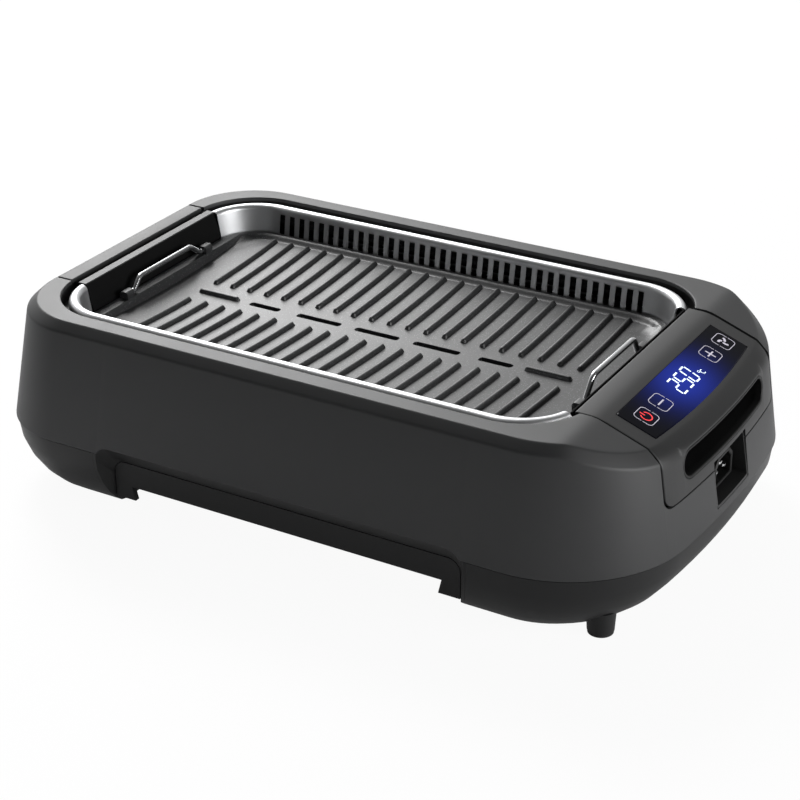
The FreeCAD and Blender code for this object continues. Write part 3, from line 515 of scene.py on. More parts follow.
def control_upper():
    """Upper band: lip, flat strip, knee, deck with the glass tray, roll-over, wall down to the hole."""
    ys = cover_ys
    tray = np.where(np.abs(ys) <= glass_half + 0.01, glass_deep, 0.0)
    far = glass_edge_u(np.clip(ys, -glass_half, glass_half)) + glass_gap
    edge_u = (bow_at(deck_edge, ys) - deck_x) / deck_cos
    top = rim_z - cover_sink
    stop = hole_edge(ys, hole_half, hole_low, hole_high, 1)
    turn_z = wall_top - math.tan(deck_angle) * (length / 2 - deck_edge - deck_x)
    knee = []
    for shift in np.linspace(-9, 5, knee_rows):
        knee.append(line_at(ys, deck_x + shift, top - math.tan(deck_angle) * soft_step(shift, cover_knee)))
    deck_n = -cover_sink * deck_cos
    turn_line = line_at(ys, right_wall(ys, turn_z, 0), turn_z)
    hole_line = line_at(ys, right_wall(ys, stop, 0), stop)
    outer = [line_at(ys, module_x, plate_high[2]), line_at(ys, module_x, top)] + knee + [
        deck_point(glass_u0 - glass_gap, ys, deck_n),
        deck_point(glass_u0 - glass_gap, ys, deck_n - tray),
        deck_point(far, ys, deck_n - tray),
        deck_point(far, ys, deck_n),
        deck_point(edge_u, ys, deck_n),
        turn_line,
        hole_line,
    ]
    up, slant, out = (0, 0, 1), (deck_sin, 0, deck_cos), (1, 0, 0.15)
    directions = [(-1, 0, 0), (-0.7, 0, 0.7)] + [up] * knee_rows + [slant] * 5 + [out, out]
    outer = eased(outer, directions, ys, module_half)
    inner = [
        hole_line - [wall, 0, 0],
        turn_line - [wall, 0, 0],
        deck_point(edge_u - 4, ys, -2 * wall),
        deck_point(glass_u0 - 4, ys, -2 * wall),
        line_at(ys, module_x + wall, rim_z - 2 * wall),
        line_at(ys, module_x + wall, plate_high[2]),
    ]
    easing = [0, 1.2] + [0] * knee_rows + [0.25, 0, 0, 0.25, 9.0, 7.0, hole_ease(ys, hole_half)]
    return rounded_profile(outer + inner, easing + [0] * len(inner), 7)


cover_bottom = np.where(np.abs(cover_ys) <= notch_half + 0.01, notch_high,
                        module_low_z + corner_rise(cover_ys, module_half, cover_corner))
cover_stop = hole_edge(cover_ys, hole_half, hole_low, hole_high, -1)
make_piece("control_end", "grill_body", "housing_plastic", [
    tube_of(control_upper()),
    tube_of(wall_band(cover_ys, module_half, hole_half, cover_bottom, cover_stop, right_wall, -1)),
], "control_cover")

# %% [markdown]
# ## Carrying end
# The opposite end has the same hand hole but no panel: only a flat strip, the chamfer and the wall. It
# is built from the same two bands, so the two ends can't drift apart.

# %% Left carrying end
carry_hole_half = mm_box("left_grip_recess")[1][1] + joint_gap
carry_ys_fine = hole_columns(carry_half, carry_hole_half, hole_r, [])
carry_lip = 8.0


def carry_upper():
    """Upper band of the left end: lip, flat strip, chamfer and wall down to the hole."""
    ys = carry_ys_fine
    stop = hole_edge(ys, carry_hole_half, hole_low, hole_high, 1)

    def side(inset, z):
        return line_at(ys, left_wall(ys, z, inset), z)

    outer = [
        line_at(ys, carry_x, rim_z - carry_lip),
        line_at(ys, carry_x, rim_z),
        line_at(ys, -length / 2 + left_draft + chamfer, rim_z),
        side(0, wall_top),
        side(0, stop),
    ]
    directions = [(1, 0, 0), (0.7, 0, 0.7), (-0.4, 0, 0.9), (-0.9, 0, 0.4), (-1, 0, 0)]
    inner = [
        side(wall, stop),
        side(wall, wall_top - wall),
        line_at(ys, carry_x - wall, rim_z - wall),
        line_at(ys, carry_x - wall, rim_z - carry_lip),
    ]
    easing = [0, 0.9, 1.4, 1.6, hole_ease(ys, carry_hole_half), 0, 0, 0, 0]
    return rounded_profile(eased(outer, directions, ys, carry_half) + inner, easing)


carry_bottom = np.full(len(carry_ys_fine), module_low_z)
carry_stop = hole_edge(carry_ys_fine, carry_hole_half, hole_low, hole_high, -1)
make_piece("carrying_end", "grill_body", "housing_plastic", [
    tube_of(carry_upper()),
    tube_of(wall_band(carry_ys_fine, carry_half, carry_hole_half, carry_bottom, carry_stop, left_wall, 1)),
], "left_handle_cover")

# %% [markdown]
# ## Frames of the hand holes
# A black frame lines each hand hole, so that the cut edge of the moulding doesn't show. Its outline is
# a stadium, and its section is a small step: flush outside, set back a little inside.

# %% Hand hole frames
frame_wide = 2.0
frame_deep = 5.0
frame_gap = 0.1


def stadium(half, r, z, turn_steps=12, side_steps=22):
    """A loop of (y, z) points: two half circles of radius r joined by straight sides."""
    turn = np.linspace(-math.pi / 2, math.pi / 2, turn_steps)
    straight = np.linspace(half - r, r - half, side_steps + 2)[1:-1]
    right = np.column_stack([half - r + r * np.cos(turn), z + r * np.sin(turn)])
    top = np.column_stack([straight, np.full(side_steps, z + r)])
    return np.vstack([right, top, -right + [0, 2 * z], -top + [0, 2 * z]])


def hole_frame(name, half, wall_x, inward):
    """A stepped ring carried round the stadium, following the drafted wall."""
    z = (hole_low + hole_high) / 2
    section = [(0, 0.25), (0.5, -0.1), (frame_wide - 0.6, -0.1), (frame_wide, 0.4),
               (frame_wide, frame_deep), (0, frame_deep)]
    rows = []
    for inset, sink in section:
        loop = stadium(half - frame_gap - inset, hole_r - frame_gap - inset, z)
        rows.append(np.column_stack([wall_x(loop[:, 0], loop[:, 1], 0) + inward * sink, loop]))
    make_piece(name, "grill_body", "black_plastic", [ring_of(rows)])


hole_frame("right_hole_frame", hole_half, right_wall, -1)
hole_frame("left_hole_frame", carry_hole_half, left_wall, 1)

# %% [markdown]
# ## Inlet collar and pins
# The appliance inlet is a bought-in part: a six-sided collar round three flat pins, standing in a
# recess. The collar is a ring carried round its six-sided outline, and each pin is a small bar.

# %% Inlet collar
inlet_z = (inlet_low[2] + inlet_high[2]) / 2
collar_back = mm_box("power_inlet")[1][0] - 1.0
collar_front = right_wall(0.0, inlet_z, 0.0) - 6.0
collar_half = (13.0, 9.0)
collar_cut = 6.0


def collar_outline(grow):
    """Six-sided outline: a rectangle with two cut corners, grown outward by `grow`."""
    w, h = collar_half[0] + grow, collar_half[1] + grow
    y = np.array([-w, w, w, w - collar_cut, collar_cut - w, -w])
    z = np.array([-h, -h, h - collar_cut, h, h, h - collar_cut])
    return np.column_stack([y, inlet_z + z])


section = [(2.2, collar_back), (2.2, collar_front - 0.5), (1.7, collar_front), (0.5, collar_front),
           (0, collar_front - 0.5), (0, collar_back)]
collar_rows = [np.column_stack([np.full(6, x), collar_outline(grow)]) for grow, x in section]
make_piece("inlet_collar", "grill_body", "black_plastic", [ring_of(collar_rows)])

# %% Inlet pins
pin_half = np.array([[-2.0, -1.0], [2.0, -1.0], [2.0, 1.0], [-2.0, 1.0]])
pin_tips = [(collar_back - 3, 1.0), (collar_front - 3.0, 1.0), (collar_front - 2.0, 0.6)]


def pin(y, z):
    """A flat pin along X, its section drawn in towards the middle at the tip."""
    rings = [np.column_stack([np.full(4, x), pin_half * k + [y, inlet_z + z]]) for x, k in pin_tips]
    return tube_of(np.stack(rings, 1))


pins = [pin(-7.0, -2.0), pin(7.0, -2.0), pin(0.0, 3.0)]
make_piece("inlet_blades", "grill_body", "brass", pins, "inlet_pins")

# %% [markdown]
# ## Grill plate
# The plate is a casting: a dished cooking surface inside a raised lip, with half-round ribs and drain
# slots along the middle. A casting seen from above is a height for each point, so the top is one height
# field and every feature is a formula added to it. The slots drop to the underside, and the faces at
# their bottom are left out.

# %% Heights of the plate
lip_z = plate_high[2]
under_z = plate_low[2]
plate_corner = 33.5
edge_roll = 2.2
pocket_half = plate_half[:2] - [10.0, 4.0]
pocket_corner = 26.0
end_slope, side_slope = 1.3, 5.0
dish_z = lip_z - 8.0
dish_rise = 5.2
rib_pitch = 15.5
rib_count = 10
rib_r = 2.15
rib_high = 3.1
rib_rows = (16.1 + rib_r, plate_half[1] - 9.9 - rib_r)
slot_r = 3.0
slot_ends = [(-111.2, -84.6), (-68.8, -31.0), (-18.5, 18.5), (31.0, 68.8), (84.6, 111.2)]
end_ribs = [(-157.4, -121.2), (121.2, 157.4)]


def rounded_box_distance(x, y, half, r):
    """Signed distance to a rounded rectangle, negative inside, and how far its edge faces front or back."""
    qx = np.abs(x) - (half[0] - r)
    qy = np.abs(y) - (half[1] - r)
    outside = np.hypot(np.maximum(qx, 0), np.maximum(qy, 0))
    distance = outside + np.minimum(np.maximum(qx, qy), 0) - r
    facing = np.where(outside > 0, np.maximum(qy, 0) / np.maximum(outside, 1e-9), (qy > qx) * 1.0)
    return distance, facing


def bar_distance(along, across, start, end):
    """Distance from the line between start and end on the first axis."""
    return np.hypot(np.maximum(np.maximum(start - along, along - end), 0), across)


def half_round(distance):
    """Height of a rib: half an ellipse over the distance from its middle line."""
    return rib_high * np.sqrt(np.clip(1 - (distance / rib_r) ** 2, 0, 1))


def plate_height(x, y):
    """Top of the plate: lip, sloped pocket edge, dish, ribs, and the slots sunk to the underside."""
    inside, facing = rounded_box_distance(x, y, pocket_half, pocket_corner)
    share = np.clip(-inside / (end_slope + side_slope * facing ** 2), 0, 1)
    share = share * share * (3 - 2 * share)
    dish = dish_z + dish_rise * (y / pocket_half[1]) ** 2
    z = lip_z + (dish - lip_z) * share
    rise = np.zeros_like(z)
    for i in range(-rib_count, rib_count + 1):
        rise = np.maximum(rise, half_round(bar_distance(np.abs(y), x - i * rib_pitch, *rib_rows)))
    for start, end in end_ribs:
        rise = np.maximum(rise, half_round(bar_distance(x, y, start + rib_r, end - rib_r)))
    border, _ = rounded_box_distance(x, y, plate_half, plate_corner)
    roll = np.clip(edge_roll + border, 0, edge_roll)
    z = z + rise - (edge_roll - np.sqrt(np.maximum(edge_roll ** 2 - roll ** 2, 0)))
    for start, end in slot_ends:
        z = np.where(bar_distance(x, y, start + slot_r, end - slot_r) <= slot_r, under_z, z)
    return z


# %% [markdown]
# A height field shows only what its grid lines catch, so lines are crowded where the height changes
# quickly: over each rib, round the slots' ends and down the lip. Towards the plate's round corners the
# lines are squeezed together, so that the grid's own edge follows the outline.

# %% Plate grid


def crowded(centres, offsets):
    """Grid lines at the given offsets from each centre."""
    return (np.asarray(centres)[:, None] + np.asarray(offsets)[None, :]).ravel()


quarter = np.linspace(0, math.pi / 2, 6)
rib_line = np.concatenate([rib_r * np.sin(np.linspace(-1, 1, 9) * math.pi / 2), [5.2, -5.2]])
end_line = rib_r * (1 - np.cos(quarter))
slot_line = np.concatenate([slot_r * (1 - np.cos(quarter)), [-0.05]])
lip_line = plate_half[0] - np.array([0, 0.15, 0.5, 1.1, 2.2, 5, 9.4, 10, 10.3, 10.7, 11.3, 13, 16, 20, 26])
xs = np.concatenate([
    crowded(np.arange(-rib_count, rib_count + 1) * rib_pitch, rib_line),
    crowded([s for s, _ in slot_ends], slot_line),
    crowded([e for _, e in slot_ends], -slot_line),
    crowded([s for s, _ in end_ribs], end_line),
    crowded([e for _, e in end_ribs], -end_line),
    lip_line,
    -lip_line,
])
xs = np.unique(np.round(xs, 2))
half_ys = np.concatenate([
    slot_r * np.sin(quarter), [slot_r + 0.05, rib_r, 8, 12],
    rib_rows[0] - rib_r * np.sin(quarter), [25, 35, 45, 55, 65, 75, 85],
    rib_rows[1] + rib_r * np.sin(quarter),
    plate_half[1] - np.array([0, 0.15, 0.5, 1.1, 2.2, 4.0, 4.6, 5.4, 6.4, 7.6, 8.8]),
])
half_ys = np.unique(np.round(half_ys, 3))
ys = np.concatenate([-half_ys[:0:-1], half_ys]) / plate_half[1]
past = np.clip(np.abs(xs) - (plate_half[0] - plate_corner), 0, plate_corner)
reach = plate_half[1] - plate_corner + np.sqrt(plate_corner ** 2 - past ** 2)
plate_xs, plate_ys = np.meshgrid(xs, ys, indexing="ij")
squeeze = np.clip((np.abs(plate_ys) - 0.7) / 0.3, 0, 1)
plate_ys = plate_ys * plate_half[1] - np.sign(plate_ys) * squeeze * (plate_half[1] - reach)[:, None]
print("plate grid", plate_xs.shape)

# %% Plate piece
plate_top = np.stack([plate_xs + plate_x, plate_ys, plate_height(plate_xs, plate_ys)], -1)
plate_under = plate_top.copy()
plate_under[..., 2] = under_z
sunk = plate_top[..., 2] <= under_z + 0.01
cast = ~(sunk[:-1, :-1] & sunk[:-1, 1:] & sunk[1:, 1:] & sunk[1:, :-1]).ravel()
border = np.concatenate([plate_top[:, 0], plate_top[-1, 1:], plate_top[-2::-1, -1], plate_top[0, -2:0:-1]])
plate_side = np.stack([border, border * [1, 1, 0] + [0, 0, under_z]])
plate_parts = [surface(plate_top, keep=cast), surface(plate_under, keep=cast), band_of(plate_side)]
make_piece("ribbed_plate", "plate", "nonstick_coat", plate_parts, "grill_plate", 40.0)

# %% [markdown]
# ## Pressed liner
# The bright liner is pressed from one sheet: a half-round lip, and below it a wall that leans in
# towards the plate, with a comb of slots along the back. Two bands and the bars between them are
# carried along the same rounded outline, each a closed strip, and the bars reach a little into both
# bands.

# %% Liner strips
sheet = 0.9
lip_corner = 45.7
lip_r = 4.2
lip_top = lip_high[2]
lip_skirt = 9.5
slot_low, slot_top = lip_z - 1.6, lip_z + 14.9
slot_pitch, slot_wide, slot_count = 9.24, 5.1, 35
foot_low = slot_low - 9
overlap = 0.3
wall_lean = 2.6
liner_seams = (module_half + 0.7, carry_half + 0.7)
liner_turns = (22, 20)


def wall_inset(z):
    """How far the liner's wall lies inside the lip's outline at a height; it leans in towards the plate."""
    return 2 * lip_r + 0.15 + wall_lean * (slot_top - z) / (slot_top - slot_low)


def liner_strip(profile, columns=12):
    """A closed profile of (inset, height) points carried round the front half of the liner."""
    straight = np.linspace(0, 1, columns)
    return np.array([
        at_height(rim_edge(lip_half - inset, lip_corner - inset, liner_seams, straight, liner_turns), z)
        for inset, z in profile])


def lip_profile():
    """Half-round lip of sheet metal: out over the top and down to the wall, then back inside."""
    turn = np.linspace(math.pi, 0, 15)

    def arch(r, angles):
        return [(lip_r + r * math.cos(a), lip_top - lip_r + r * math.sin(a)) for a in angles]

    low = lip_top - lip_skirt
    foot = [(wall_inset(slot_top), slot_top), (wall_inset(slot_top) - sheet, slot_top)]
    return [(0, low)] + arch(lip_r, turn) + foot + arch(lip_r - sheet, turn[::-1]) + [(sheet, low)]


def wall_profile(low, high):
    """A piece of the leaning wall between two heights."""
    a, b = wall_inset(low), wall_inset(high)
    return [(a, low), (b, high), (b - sheet, high), (a - sheet, low)]


comb = wall_profile(slot_low - overlap, slot_top + overlap)


def bar(x0, x1):
    """One upright bar between two slots of the back wall."""
    return tube_of([[[x, lip_half[1] - inset, z] for x in (x0, x1)] for inset, z in comb])


lip_strip = liner_strip(lip_profile())
wall_strip = liner_strip(wall_profile(foot_low, slot_top + 0.1))
foot_strip = liner_strip(wall_profile(foot_low, slot_low))
full = liner_strip(comb, 2)
slot_xs = plate_x + (np.arange(slot_count) - slot_count // 2) * slot_pitch
first_x, last_x = slot_xs[0] - slot_wide / 2, slot_xs[-1] + slot_wide / 2
near = liner_turns[0]
right_end = np.concatenate([full[:, :near], full[:, near - 1:near] * [0, 1, 1] + [last_x, 0, 0]], 1)
left_end = np.concatenate([full[:, near:near + 1] * [0, 1, 1] + [first_x, 0, 0], full[:, near:]], 1)
bars = [bar(a + slot_wide / 2, b - slot_wide / 2) for a, b in zip(slot_xs, slot_xs[1:])]
front_strips = [tube_of(lip_strip), tube_of(wall_strip)]
back_strips = [tube_of(mirrored(strip)) for strip in (lip_strip, foot_strip, right_end, left_end)]
make_piece("pressed_liner", "grill_body", "liner_steel", front_strips + back_strips + bars, "metal_liner")

# %% [markdown]
# ## Wire handles
# Each lifting handle is one bent wire: short ends that turn in the brackets, two slanted legs and a
# bar. The path is a polyline with an arc at each bend, and a circle is carried along it in the plane of
# the bend.

# %% Handles
wire_r = 2.1
handle_z = lip_z + 2.8
handle_in = 7.0
handle_end = 53.0
handle_knees = (42.4, 32.4)
handle_bends = (3.4, 8.0, 8.0, 3.4)


def bent_path(points, bends, steps=9):
    """A polyline in the handle's plane whose corners are arcs tangent to both legs."""
    rows = [points[:1]]
    for before, corner, after, r in zip(points, points[1:], points[2:], bends):
        a, b = unit(before - corner), unit(after - corner)
        half = math.acos(np.clip(a @ b, -1, 1)) / 2
        centre = corner + unit(a + b) * r / math.sin(half)
        start = corner + a * r / math.tan(half) - centre
        end = corner + b * r / math.tan(half) - centre
        share = np.linspace(0, 1, steps)[:, None]
        swing = math.pi - 2 * half
        arc = np.sin((1 - share) * swing) * start + np.sin(share * swing) * end
        rows.append(centre + arc / math.sin(swing))
    rows.append(points[-1:])
    return np.vstack(rows)


def wire_handle(side, axis_x, high, lean):
    """A circle of the wire's radius carried along the bent path; lean turns the handle about its axis."""
    knee, top = handle_knees
    points = [[-handle_end, 0], [-knee, 0], [-top, high], [top, high], [knee, 0], [handle_end, 0]]
    path = bent_path(np.array(points), handle_bends)
    ahead = unit(np.gradient(path, axis=0))
    across = np.column_stack([-ahead[:, 1], ahead[:, 0]])
    turn = np.linspace(0, 2 * math.pi, 20, endpoint=False)[:, None, None]
    flat = path + wire_r * np.cos(turn) * across
    off = wire_r * np.sin(turn[..., 0]) + 0 * path[:, 0]
    x = axis_x + flat[..., 1] * math.sin(lean) + off * math.cos(lean)
    z = handle_z + flat[..., 1] * math.cos(lean) - off * math.sin(lean)
    wire = tube_of(np.stack([x, flat[..., 0], z], -1))
    make_piece(f"{side}_lifting_wire", f"{side}_handle", "wire_steel", [wire], f"plate_handle_{side}", 50.0)


wire_handle("left", plate_low[0] + handle_in, 8.0, math.radians(-10))
wire_handle("right", plate_high[0] - handle_in, 15.0, math.radians(3))

# %% [markdown]
# ## Touch glass
# The panel is a thin sheet of dark glass, straight towards the grill and bowed outside. A rounded slab
# is enough, but its rim has a small polished bevel that catches the light, so the profile has a row for
# it.

# %% Glass
glass_corner = 2.5
glass_bevel = 0.5
glass_top_n = 0.05


def glass_loop(inset, n):
    """The glass outline as one loop of points, set in by `inset`, at height n above the deck."""
    half = glass_half - inset
    r = glass_corner
    across = half - r * (1 - np.sin(quarter))
    ys = np.concatenate([-across[::-1], np.linspace(-half + r, half - r, 30)[1:-1], across])
    drop = r - np.sqrt(np.maximum(r ** 2 - np.clip(np.abs(ys) - (half - r), 0, r) ** 2, 0))
    far = deck_point(glass_edge_u(ys) - inset - drop, ys, n)
    near = deck_point(glass_u0 + inset + drop, ys, n)
    return np.vstack([far, near[::-1]])


def filled(loop, steps=5):
    """A loop drawn in towards its middle line, so that it closes as a strip of quads."""
    count = len(loop) // 2
    far, near = loop[:count], loop[:count - 1:-1]
    return surface([far + (near - far) * t for t in np.linspace(0, 1, steps)])


rim_rows = [glass_loop(0, -1.5), glass_loop(0, -0.45), glass_loop(glass_bevel, glass_top_n)]
glass_parts = [band_of(rim_rows), filled(rim_rows[0]), filled(rim_rows[2])]
make_piece("touch_panel", "grill_body", "panel_glass", glass_parts, "touch_glass", 25.0)

# %% [markdown]
# ## Lit marks on the glass
# The touch keys are printed marks lit from behind. Each is a thin ribbon: a line on the glass with a
# width, closed into a flat bar a tenth of a millimetre high. Marks are drawn in the reader's frame,
# where `across` runs from the front of the grill to its back and `up` climbs the slope.

# %% Ribbons
mark_n = glass_top_n + 0.02
mark_high = 0.08
key_u = 23.2


def ribbon(path, width, closed=False):
    """A bar of rectangular section along a path of (across, up) points, mitred at its corners."""
    path = np.asarray(path, float)
    if closed:
        ahead = unit(np.roll(path, -1, 0) - path)
        behind = unit(path - np.roll(path, 1, 0))
    else:
        steps = unit(np.diff(path, axis=0))
        ahead = np.vstack([steps, steps[-1:]])
        behind = np.vstack([steps[:1], steps])
    middle = unit(ahead + behind)
    side = np.column_stack([-middle[:, 1], middle[:, 0]])
    reach = width / 2 / np.maximum(np.sum(middle * ahead, 1), 0.4)[:, None]
    left, right = path + side * reach, path - side * reach
    low, high = mark_n, mark_n + mark_high
    corners = ((left, low), (left, high), (right, high), (right, low))
    grid = [deck_point(key_u - p[:, 1], p[:, 0], n) for p, n in corners]
    return ring_of(grid) if closed else tube_of(grid)


def arc_path(cx, cy, r, start, end, count=20):
    """Points on a circle between two angles in degrees, measured from the right."""
    angle = np.radians(np.linspace(start, end, count))
    return np.column_stack([cx + r * np.cos(angle), cy + r * np.sin(angle)])


# %% Digits
digit_high = 14.2
digit_wide = 7.0
digit_step = 10.2
digit_lean = 0.10
digits_at = -2.2
stroke = 1.25
segments = {"2": "abged", "5": "afgcd", "0": "abcdef"}


def digit(cx, figure):
    """Seven-segment figure: each lit segment is a short bar, leaning a little."""
    w, h = digit_wide / 2, digit_high / 2
    ends = {"a": ((-w, h), (w, h)), "b": ((w, h), (w, 0)), "c": ((w, 0), (w, -h)),
            "d": ((w, -h), (-w, -h)), "e": ((-w, -h), (-w, 0)), "f": ((-w, 0), (-w, h)),
            "g": ((-w, 0), (w, 0))}
    share = np.array([0.11, 0.18, 0.82, 0.89])[:, None]
    bars = []
    for key in segments[figure]:
        start, end = (np.array(p, float) for p in ends[key])
        line = start + (end - start) * share
        line[:, 0] += cx + digit_lean * line[:, 1]
        bars.append(ribbon(line, stroke))
    return bars


number = []
for i, figure in enumerate("250"):
    number += digit(digits_at + (i - 1) * digit_step, figure)
degree = ribbon(arc_path(16.6, -3.0, 0.9, 0, 360, 17)[:-1], 0.4, True)
celsius = ribbon(arc_path(19.6, -5.0, 1.9, 55, 305), 0.5)
make_piece("lit_number", "grill_body", "display_blue", number + [degree, celsius])

# %% Keys
key_half = 7.2
key_corner = 3.0
key_gap = 0.5
key_line = 0.45
sign_half, sign_wide = 4.2, 1.1
power_line = 0.9
power_at, minus_at, plus_at, fan_at = -62.0, -39.4, 43.7, 66.4


def key_outline(cx):
    """Two halves of a rounded square with a gap in the middle of its left and right sides."""
    far = key_half - key_corner
    turns = [arc_path(cx + far, far, key_corner, 0, 90, 8), arc_path(cx - far, far, key_corner, 90, 180, 8)]
    top = np.vstack([[[cx + key_half, key_gap]]] + turns + [[[cx - key_half, key_gap]]])
    return [ribbon(top, key_line), ribbon(top * [1, -1], key_line)]


def fan_blades(cx):
    """Three swept blades: the angle grows with the distance from the middle."""
    blades = []
    out = np.linspace(0.9, 4.4, 8)
    for turn in (90, 210, 330):
        angle = np.radians(turn + 16 * (out - 0.9))
        blades.append(ribbon(np.column_stack([cx + out * np.cos(angle), out * np.sin(angle)]), 1.7))
    return blades


marks = [half for place in (power_at, minus_at, plus_at, fan_at) for half in key_outline(place)]
marks += [ribbon([[at - sign_half, 0], [at + sign_half, 0]], sign_wide) for at in (minus_at, plus_at)]
marks += [ribbon([[plus_at, side * sign_wide / 2], [plus_at, side * sign_half]], sign_wide)
          for side in (-1, 1)]
make_piece("lit_keys", "grill_body", "display_blue", marks + fan_blades(fan_at))
power = [
    ribbon(arc_path(power_at, 0, 4.0, 125, 415, 30), power_line),
    ribbon([[power_at, 1.2], [power_at, 5.2]], power_line),
]
make_piece("lit_power_mark", "grill_body", "display_blue", power)

# %% [markdown]
# ## Node maths for finishes
# A finish is a small program of nodes. Writing it as arithmetic is easier to follow than wiring boxes,
# so one class wraps a socket and turns + - * / and powers into Math nodes. Every other node comes from
# one method.

# %% Socket wrapper


def add_node(tree, kind, settings=None, sockets=None, output=0):
    """A node of any kind: its settings first, then the values or links of its sockets."""
    node = tree.nodes.new(kind)
    for key, value in (settings or {}).items():
        setattr(node, key, value)
    for key, value in (sockets or {}).items():
        if isinstance(value, Wire):
            tree.links.new(value.socket, node.inputs[key])
        else:
            node.inputs[key].default_value = value
    return Wire(tree, node.outputs[output])


def operator(operation, swapped=False):
    """A method that adds one Math node; swapped puts the other value first."""
    def method(self, other):
        pair = (other, self) if swapped else (self, other)
        return add_node(self.tree, "ShaderNodeMath", {"operation": operation}, dict(enumerate(pair)))
    return method


class Wire:
    """One value of a finish; arithmetic on it adds Math nodes to the finish's tree."""

    __add__ = __radd__ = operator("ADD")
    __mul__ = __rmul__ = operator("MULTIPLY")
    __sub__ = operator("SUBTRACT")
    __rsub__ = operator("SUBTRACT", swapped=True)
    __truediv__ = operator("DIVIDE")
    __rpow__ = operator("POWER", swapped=True)

    def __init__(self, tree, socket):
        self.tree = tree
        self.socket = socket

    def above(self, level, width):
        """0 below the level, 1 above it, over a soft width."""
        return add_node(self.tree, "ShaderNodeMapRange", {"interpolation_type": "SMOOTHSTEP"},
                        {"Value": self, "From Min": level - width / 2, "From Max": level + width / 2})


class Finish:
    """A material whose shader sockets take numbers, colours or wires."""

    def __init__(self, name, **sockets):
        self.material = bpy.data.materials.new(name)
        self.material.use_nodes = True
        self.tree = self.material.node_tree
        self.shader = self.tree.nodes["Principled BSDF"]
        self.place = self.add("ShaderNodeTexCoord", output=3)
        self.set(**sockets)

    def add(self, kind, settings=None, sockets=None, output=0):
        return add_node(self.tree, kind, settings, sockets, output)

    def set(self, **sockets):
        for key, value in sockets.items():
            socket = self.shader.inputs[key.replace("_", " ")]
            if isinstance(value, Wire):
                self.tree.links.new(value.socket, socket)
            else:
                socket.default_value = value
        return self

    def noise(self, size_mm, detail=2.0, rough=0.5, stretch=None):
        """Noise whose lumps are about size_mm wide; stretch scales the pattern along each axis."""
        place = self.place
        if stretch:
            place = self.add("ShaderNodeMapping", None, {"Vector": place, "Scale": stretch})
        sockets = {"Vector": place, "Scale": 1 / (size_mm * MM), "Detail": detail, "Roughness": rough}
        return self.add("ShaderNodeTexNoise", None, sockets)

    def blend(self, factor, first, second):
        """A colour that goes from first to second with the factor."""
        return self.add("ShaderNodeMix", {"data_type": "RGBA"}, {0: factor, 6: first, 7: second}, 2)

    def bump(self, height, depth_mm, strength):
        """Fine relief: a height from 0 to 1 standing for depth_mm of real relief."""
        sockets = {"Height": height, "Distance": depth_mm * MM, "Strength": strength}
        return self.set(Normal=self.add("ShaderNodeBump", None, sockets))

    def axis(self, index):
        """One coordinate of the surface point, in metres."""
        return self.add("ShaderNodeSeparateXYZ", None, {0: self.place}, index)


def grey(level, tint=0.02):
    """A linear grey, a little cooler with a positive tint."""
    return (level * (1 - tint), level, level * (1 + 1.5 * tint), 1.0)


def shade(colour, share):
    """The same colour, darker or lighter."""
    return tuple(c * share for c in colour[:3]) + (1.0,)


# %% [markdown]
# ## Moulded plastics
# The housing is moulded from charcoal plastic in a spark-eroded tool, which leaves a fine even grain,
# and handling leaves faint cloudy patches of sheen. Both are noise: one at about half a millimetre for
# relief, one at centimetres for roughness and tone.

# %% Plastics


def plastic(name, colour, rough, grain_mm, grain_deep, shine=0.5):
    """Grained plastic: tone and sheen drift over centimetres, relief is a fine grain."""
    finish = Finish(name, Specular_IOR_Level=shine)
    cloud = finish.noise(34, 3)
    grain = finish.noise(grain_mm, 3, 0.6)
    tone = cloud * 0.6 + grain * 0.4
    finish.set(Base_Color=finish.blend(tone, shade(colour, 0.8), shade(colour, 1.25)))
    finish.set(Roughness=rough - 0.05 + cloud * 0.08 + grain * 0.05)
    return finish.bump(grain, grain_deep, 0.5)


wire_red = (0.33, 0.016, 0.014, 1)
board_green = (0.008, 0.062, 0.024, 1)
finishes = {
    "housing_plastic": plastic("charcoal_plastic", grey(0.026), 0.5, 0.45, 0.035),
    "base_plastic": plastic("dark_base_plastic", grey(0.011), 0.45, 0.5, 0.04, 0.32),
    "black_plastic": plastic("black_plastic", grey(0.005), 0.5, 0.4, 0.03, 0.3),
    "grey_trim": plastic("grey_trim_plastic", grey(0.03), 0.5, 0.4, 0.03),
    "control_end": plastic("control_end_plastic", grey(0.011), 0.48, 0.45, 0.035),
    "enamel": plastic("matt_black_enamel", grey(0.003), 0.75, 0.6, 0.03, 0.12),
    "rubber": plastic("foot_rubber", grey(0.012), 0.75, 0.8, 0.08),
    "component_black": plastic("component_case", grey(0.012), 0.5, 0.6, 0.05),
    "ceramic": plastic("glazed_ceramic", grey(0.72, -0.01), 0.35, 1.5, 0.05),
    "wire_red": plastic("wire_sleeve", wire_red, 0.45, 0.6, 0.03),
    "board_green": plastic("circuit_board", board_green, 0.4, 0.9, 0.03),
}
print("plastics", len(finishes))

# %% [markdown]
# ## Metals
# The liner is bright pressed steel, rolled along its length, so its fine scratches run one way.
# Stretching noise by twenty along X gives that grain. The wire is polished, and the trays are plainer
# sheet.

# %% Metals


def metal(name, level, rough, stretch, scratch_deep):
    """Rolled or drawn metal: long fine scratches in roughness, tone and relief, with smears of grease."""
    finish = Finish(name, Metallic=1.0)
    scratch = finish.noise(0.5, 3, 0.6, stretch)
    smear = finish.noise(22, 3)
    tone = scratch * 0.6 + smear * 0.4
    finish.set(Base_Color=finish.blend(tone, grey(level * 0.86, 0.01), grey(level * 1.08, 0.01)))
    finish.set(Roughness=rough - 0.06 + scratch * 0.1 + smear.above(0.55, 0.3) * 0.07)
    return finish.bump(scratch, scratch_deep, 0.35)


